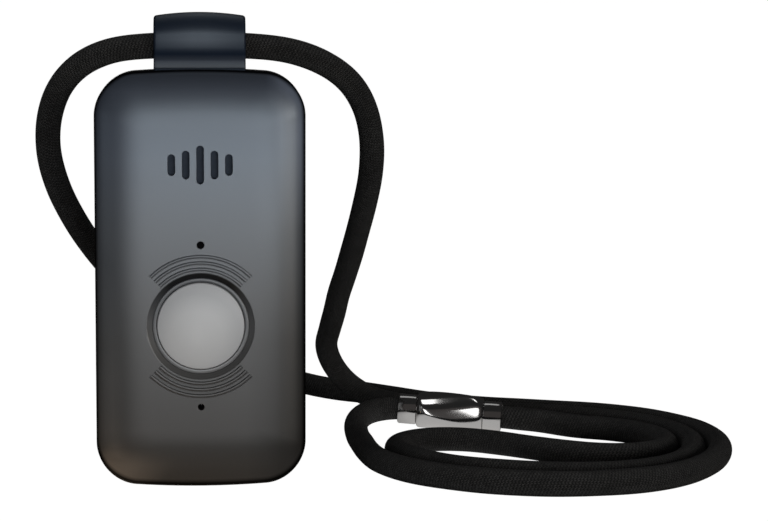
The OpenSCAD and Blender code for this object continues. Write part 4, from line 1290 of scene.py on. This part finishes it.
# %% materials of the CAD nodes
NODE_LOOKS = [
    (seal_mat, ["shell_gasket", "speaker_gasket", "microphone_boot", "contact_seals", "battery_pad"]),
    (metal("screw_steel", (0.52, 0.52, 0.53), 0.3), ["shell_screws", "bail_screws", "board_screws"]),
    (moulded("inner_plastic", (0.03, 0.03, 0.032), 0.5), ["switch_body", "speaker_frame"]),
    (moulded("plunger_plastic", (0.35, 0.05, 0.03), 0.45), ["switch_plunger"]),
    (moulded("board", (0.012, 0.07, 0.03), 0.4), ["main_board"]),
    (metal("shield_metal", (0.6, 0.6, 0.6), 0.35), ["radio_module", "vibration_motor", "microphone"]),
    (moulded("ceramic", (0.6, 0.56, 0.48), 0.6), ["satellite_antenna"]),
    (metal("copper", (0.75, 0.42, 0.22), 0.35), ["radio_antenna"]),
    (moulded("cone_film", (0.03, 0.03, 0.034), 0.4), ["speaker_cone"]),
    (moulded("mesh_cloth", (0.030, 0.041, 0.061), 0.8, 0.00006), ["speaker_mesh"]),
    (moulded("lamp_plastic", (0.7, 0.7, 0.62), 0.3), ["status_lamp"]),
    # The light pipe is nearly black with almost no gloss, so that the lamp hole shows black.
    (moulded("smoked_plastic", (0.001, 0.001, 0.0015), 0.6, specular=0.03), ["light_pipe"]),
    (moulded("battery_film", (0.4, 0.42, 0.46), 0.35), ["battery"]),
    (metal("gold_plate", (0.83, 0.62, 0.28), 0.22), ["charge_contacts"]),
    (metal("magnet", (0.5, 0.5, 0.52), 0.28), ["plug_magnet", "socket_magnet"]),
]
for material, nodes in NODE_LOOKS:
    for node in nodes:
        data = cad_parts[node].data
        data.materials.clear()
        data.materials.append(material)
print("CAD nodes with a new material:", sum(len(nodes) for material, nodes in NODE_LOOKS))

# %% [markdown]
# ## Floor
# The photograph shows the object on plain white, with little light from below. A white floor under lamps
# would brighten it from below, so the floor and the surround glow for the camera alone. Spots that the
# camera doesn't see lie on the floor and show only as reflections, under the clasp and in front of the
# foot. Two small shades darken the ground between the loops of the lanyard.

# %% floor
FLOOR_GLOW = 1.0
FLOOR_REACH = 20000
# Each spot or shade: its X and Y, its reach and its strength.
SPOTS = ((55, 40, 30, 0.5), (-22, -13, 16, 1.1), (2, -12, 34, 0.22))
LOOP_SHADES = ((103.2, 31.3, 2.5, 1.0), (109.1, 30.4, 2.5, 1.0))


def floor_spot(g, x, y, reach, strength):
    """A round spot that fades out with the distance from its place: all lengths in millimetres."""
    place = g.place()
    far = g.reach(g.math("SUBTRACT", place["X"], x * MM), g.math("SUBTRACT", place["Y"], y * MM))
    return g.along(far, strength, 0.0, 0.4 * reach, reach)


def floor_paint():
    """Paint that glows white for the camera, and for all else only in its spots, warm on the left."""
    g = Graph("floor_paint", (0.3, 0.26, 0.22), 0.9, specular=0.1)
    g.rough(g.spread(g.noise(40), 0.86, 0.94))
    seen = g.add("ShaderNodeLightPath").outputs["Is Camera Ray"]
    unseen = g.math("SUBTRACT", 1.0, seen)
    spots = 0.0
    for spot in SPOTS:
        spots = g.math("ADD", spots, floor_spot(g, *spot))
    ground = FLOOR_GLOW
    for shade in LOOP_SHADES:
        ground = g.product(ground, g.math("SUBTRACT", 1.0, floor_spot(g, *shade)))
    glow = g.math("ADD", g.product(seen, ground), g.product(unseen, spots))
    g.put(g.shader.inputs["Emission Strength"], glow)
    warmth = g.product(unseen, g.along(g.place()["X"], 1.0, 0.0, 0, 30))
    warm = g.ramp(warmth, [(0.0, (1.0, 1.0, 1.0)), (1.0, (1.0, 0.76, 0.55))])
    g.put(g.shader.inputs["Emission Color"], warm)
    return g.material


floor_points = [(sx * FLOOR_REACH, sy * FLOOR_REACH, 0) for sx, sy in ((-1, -1), (1, -1), (1, 1), (-1, 1))]
floor = make_object("floor", floor_points, [(0, 1, 2, 3)])
floor.data.materials.append(floor_paint())
print("floor spots:", len(SPOTS), "shades:", len(LOOP_SHADES))

# %% [markdown]
# ## Light
# Soft rectangles light the object, as the softboxes of a studio do. A picture of a studio could light it
# from all round, but a satin face and a polished clasp show where each light is, so each is placed one by
# one.
# A lamp can be linked to some pieces alone, through a group of objects that it includes or excludes.

# %% lamps and world


def soft_light(name, at, toward, size, power, tint=(1, 1, 1)):
    """A rectangular soft light that faces a point: place and size in millimetres, power in watts."""
    data = bpy.data.lights.new(name, "AREA")
    data.shape = "RECTANGLE"
    data.size = size[0] * MM
    data.size_y = size[1] * MM
    data.energy = power
    data.color = tint
    lamp = bpy.data.objects.new(name, data)
    way = np.array(toward, float) - np.array(at, float)
    back = -way / np.linalg.norm(way)
    side = np.cross([0, 0, 1.0], back)
    side /= np.linalg.norm(side)
    lamp.rotation_euler = Matrix(np.stack([side, np.cross(back, side), back], 1).tolist()).to_euler()
    lamp.location = np.array(at, float) * MM
    bpy.context.scene.collection.objects.link(lamp)
    return lamp


def link_group(name, objects, state):
    """A group of objects that a light includes or excludes."""
    group = bpy.data.collections.new(name)
    for obj in objects:
        group.objects.link(obj)
    for entry in group.collection_objects:
        entry.light_linking.link_state = state
    return group


def make_world():
    """White where the camera looks past everything, and nearly dark for what it lights."""
    world = bpy.data.worlds.new("surround")
    world.use_nodes = True
    tree = world.node_tree
    path = tree.nodes.new("ShaderNodeLightPath")
    reach = tree.nodes.new("ShaderNodeMapRange")
    reach.inputs["To Min"].default_value = 0.02
    reach.inputs["To Max"].default_value = 1.0
    tree.links.new(path.outputs["Is Camera Ray"], reach.inputs["Value"])
    tree.links.new(reach.outputs[0], tree.nodes["Background"].inputs["Strength"])
    tree.nodes["Background"].inputs["Color"].default_value = (1, 1, 1, 1)
    bpy.context.scene.world = world


make_world()
print("world:", bpy.context.scene.world.name)

# %% [markdown]
# A wide band in front, which the satin face mirrors, a box on the right and a weak one on the left, and a
# strip above light the body. Two boxes behind reach only the rear shell and the pieces inside. The lanyard,
# the bail and the clasp are dark or mirror-like, so each has small lights of its own, linked to it alone.

# %% lights
# Each light: its place, the point it faces, its size, its power and its tint.
LIGHTS = {
    "front_band": ((105, -900, 66), (105, 0, 66), (590, 122), 3.15, (0.94, 0.97, 1.0)),
    "right_box": ((720, -800, 150), (0, 0, 60), (500, 240), 3.2, (1.0, 0.95, 0.88)),
    "left_box": ((-820, -570, 60), (0, 0, 50), (500, 240), 0.35, (0.9, 0.96, 1.0)),
    "back_left": ((-500, 700, 350), (0, 0, 45), (500, 500), 6.0),
    "back_right": ((600, 600, 250), (0, 0, 45), (500, 500), 6.0),
    "cord_left": ((-600, -500, 300), (40, 30, 30), (400, 400), 1.5),
    "cord_top": ((70, 29, 700), (70, 30, 0), (400, 400), 0.6),
    "ring_top": ((69, 235, 405), (69, 50, 5), (240, 120), 0.04),
    "top_strip": ((0, 60, 480), (0, 0, 80), (500, 60), 0.08, (0.9, 0.95, 1.0)),
    "bail_back": ((0, 250, 440), (0, 0, 90), (200, 150), 0.1, (0.92, 0.96, 1.0)),
    "left_patch": ((-58, -400, 167), (60, 49, 40), (100, 325), 0.22),
    "top_patch": ((70, 5, 405), (70, 6, 5), (32, 150), 0.038),
    "side_patch": ((-40, -71, 135), (50, 49, 6), (50, 50), 0.02),
    "dim_wall": ((60, -500, 260), (60, 49, 5), (900, 500), 0.045, (1.0, 0.86, 0.82)),
}
clasp = [plug, socket, end_ring]
lanyard = [left_run, right_run, tail]
front_pieces = [front_shell, ribs, button, collar, bail_loop, *clasp, *lanyard, floor]
KEPT_OFF = {"front_band": clasp, "right_box": clasp, "left_box": clasp, "top_strip": clasp,
            "back_left": front_pieces, "back_right": front_pieces}
ONLY_ON = {"cord_left": lanyard, "cord_top": lanyard, "ring_top": [plug, end_ring], "bail_back": [bail_loop],
           "left_patch": [socket], "top_patch": [socket], "side_patch": [socket], "dim_wall": clasp}
lamps = {name: soft_light(name, *facts) for name, facts in LIGHTS.items()}
for name, objects in KEPT_OFF.items():
    lamps[name].light_linking.receiver_collection = link_group(name + "_off", objects, "EXCLUDE")
for name, objects in ONLY_ON.items():
    lamps[name].light_linking.receiver_collection = link_group(name + "_only", objects, "INCLUDE")
lamps["bail_back"].light_linking.blocker_collection = link_group("bail_back_pass", [bail_loop], "EXCLUDE")
print("lights:", len(lamps))
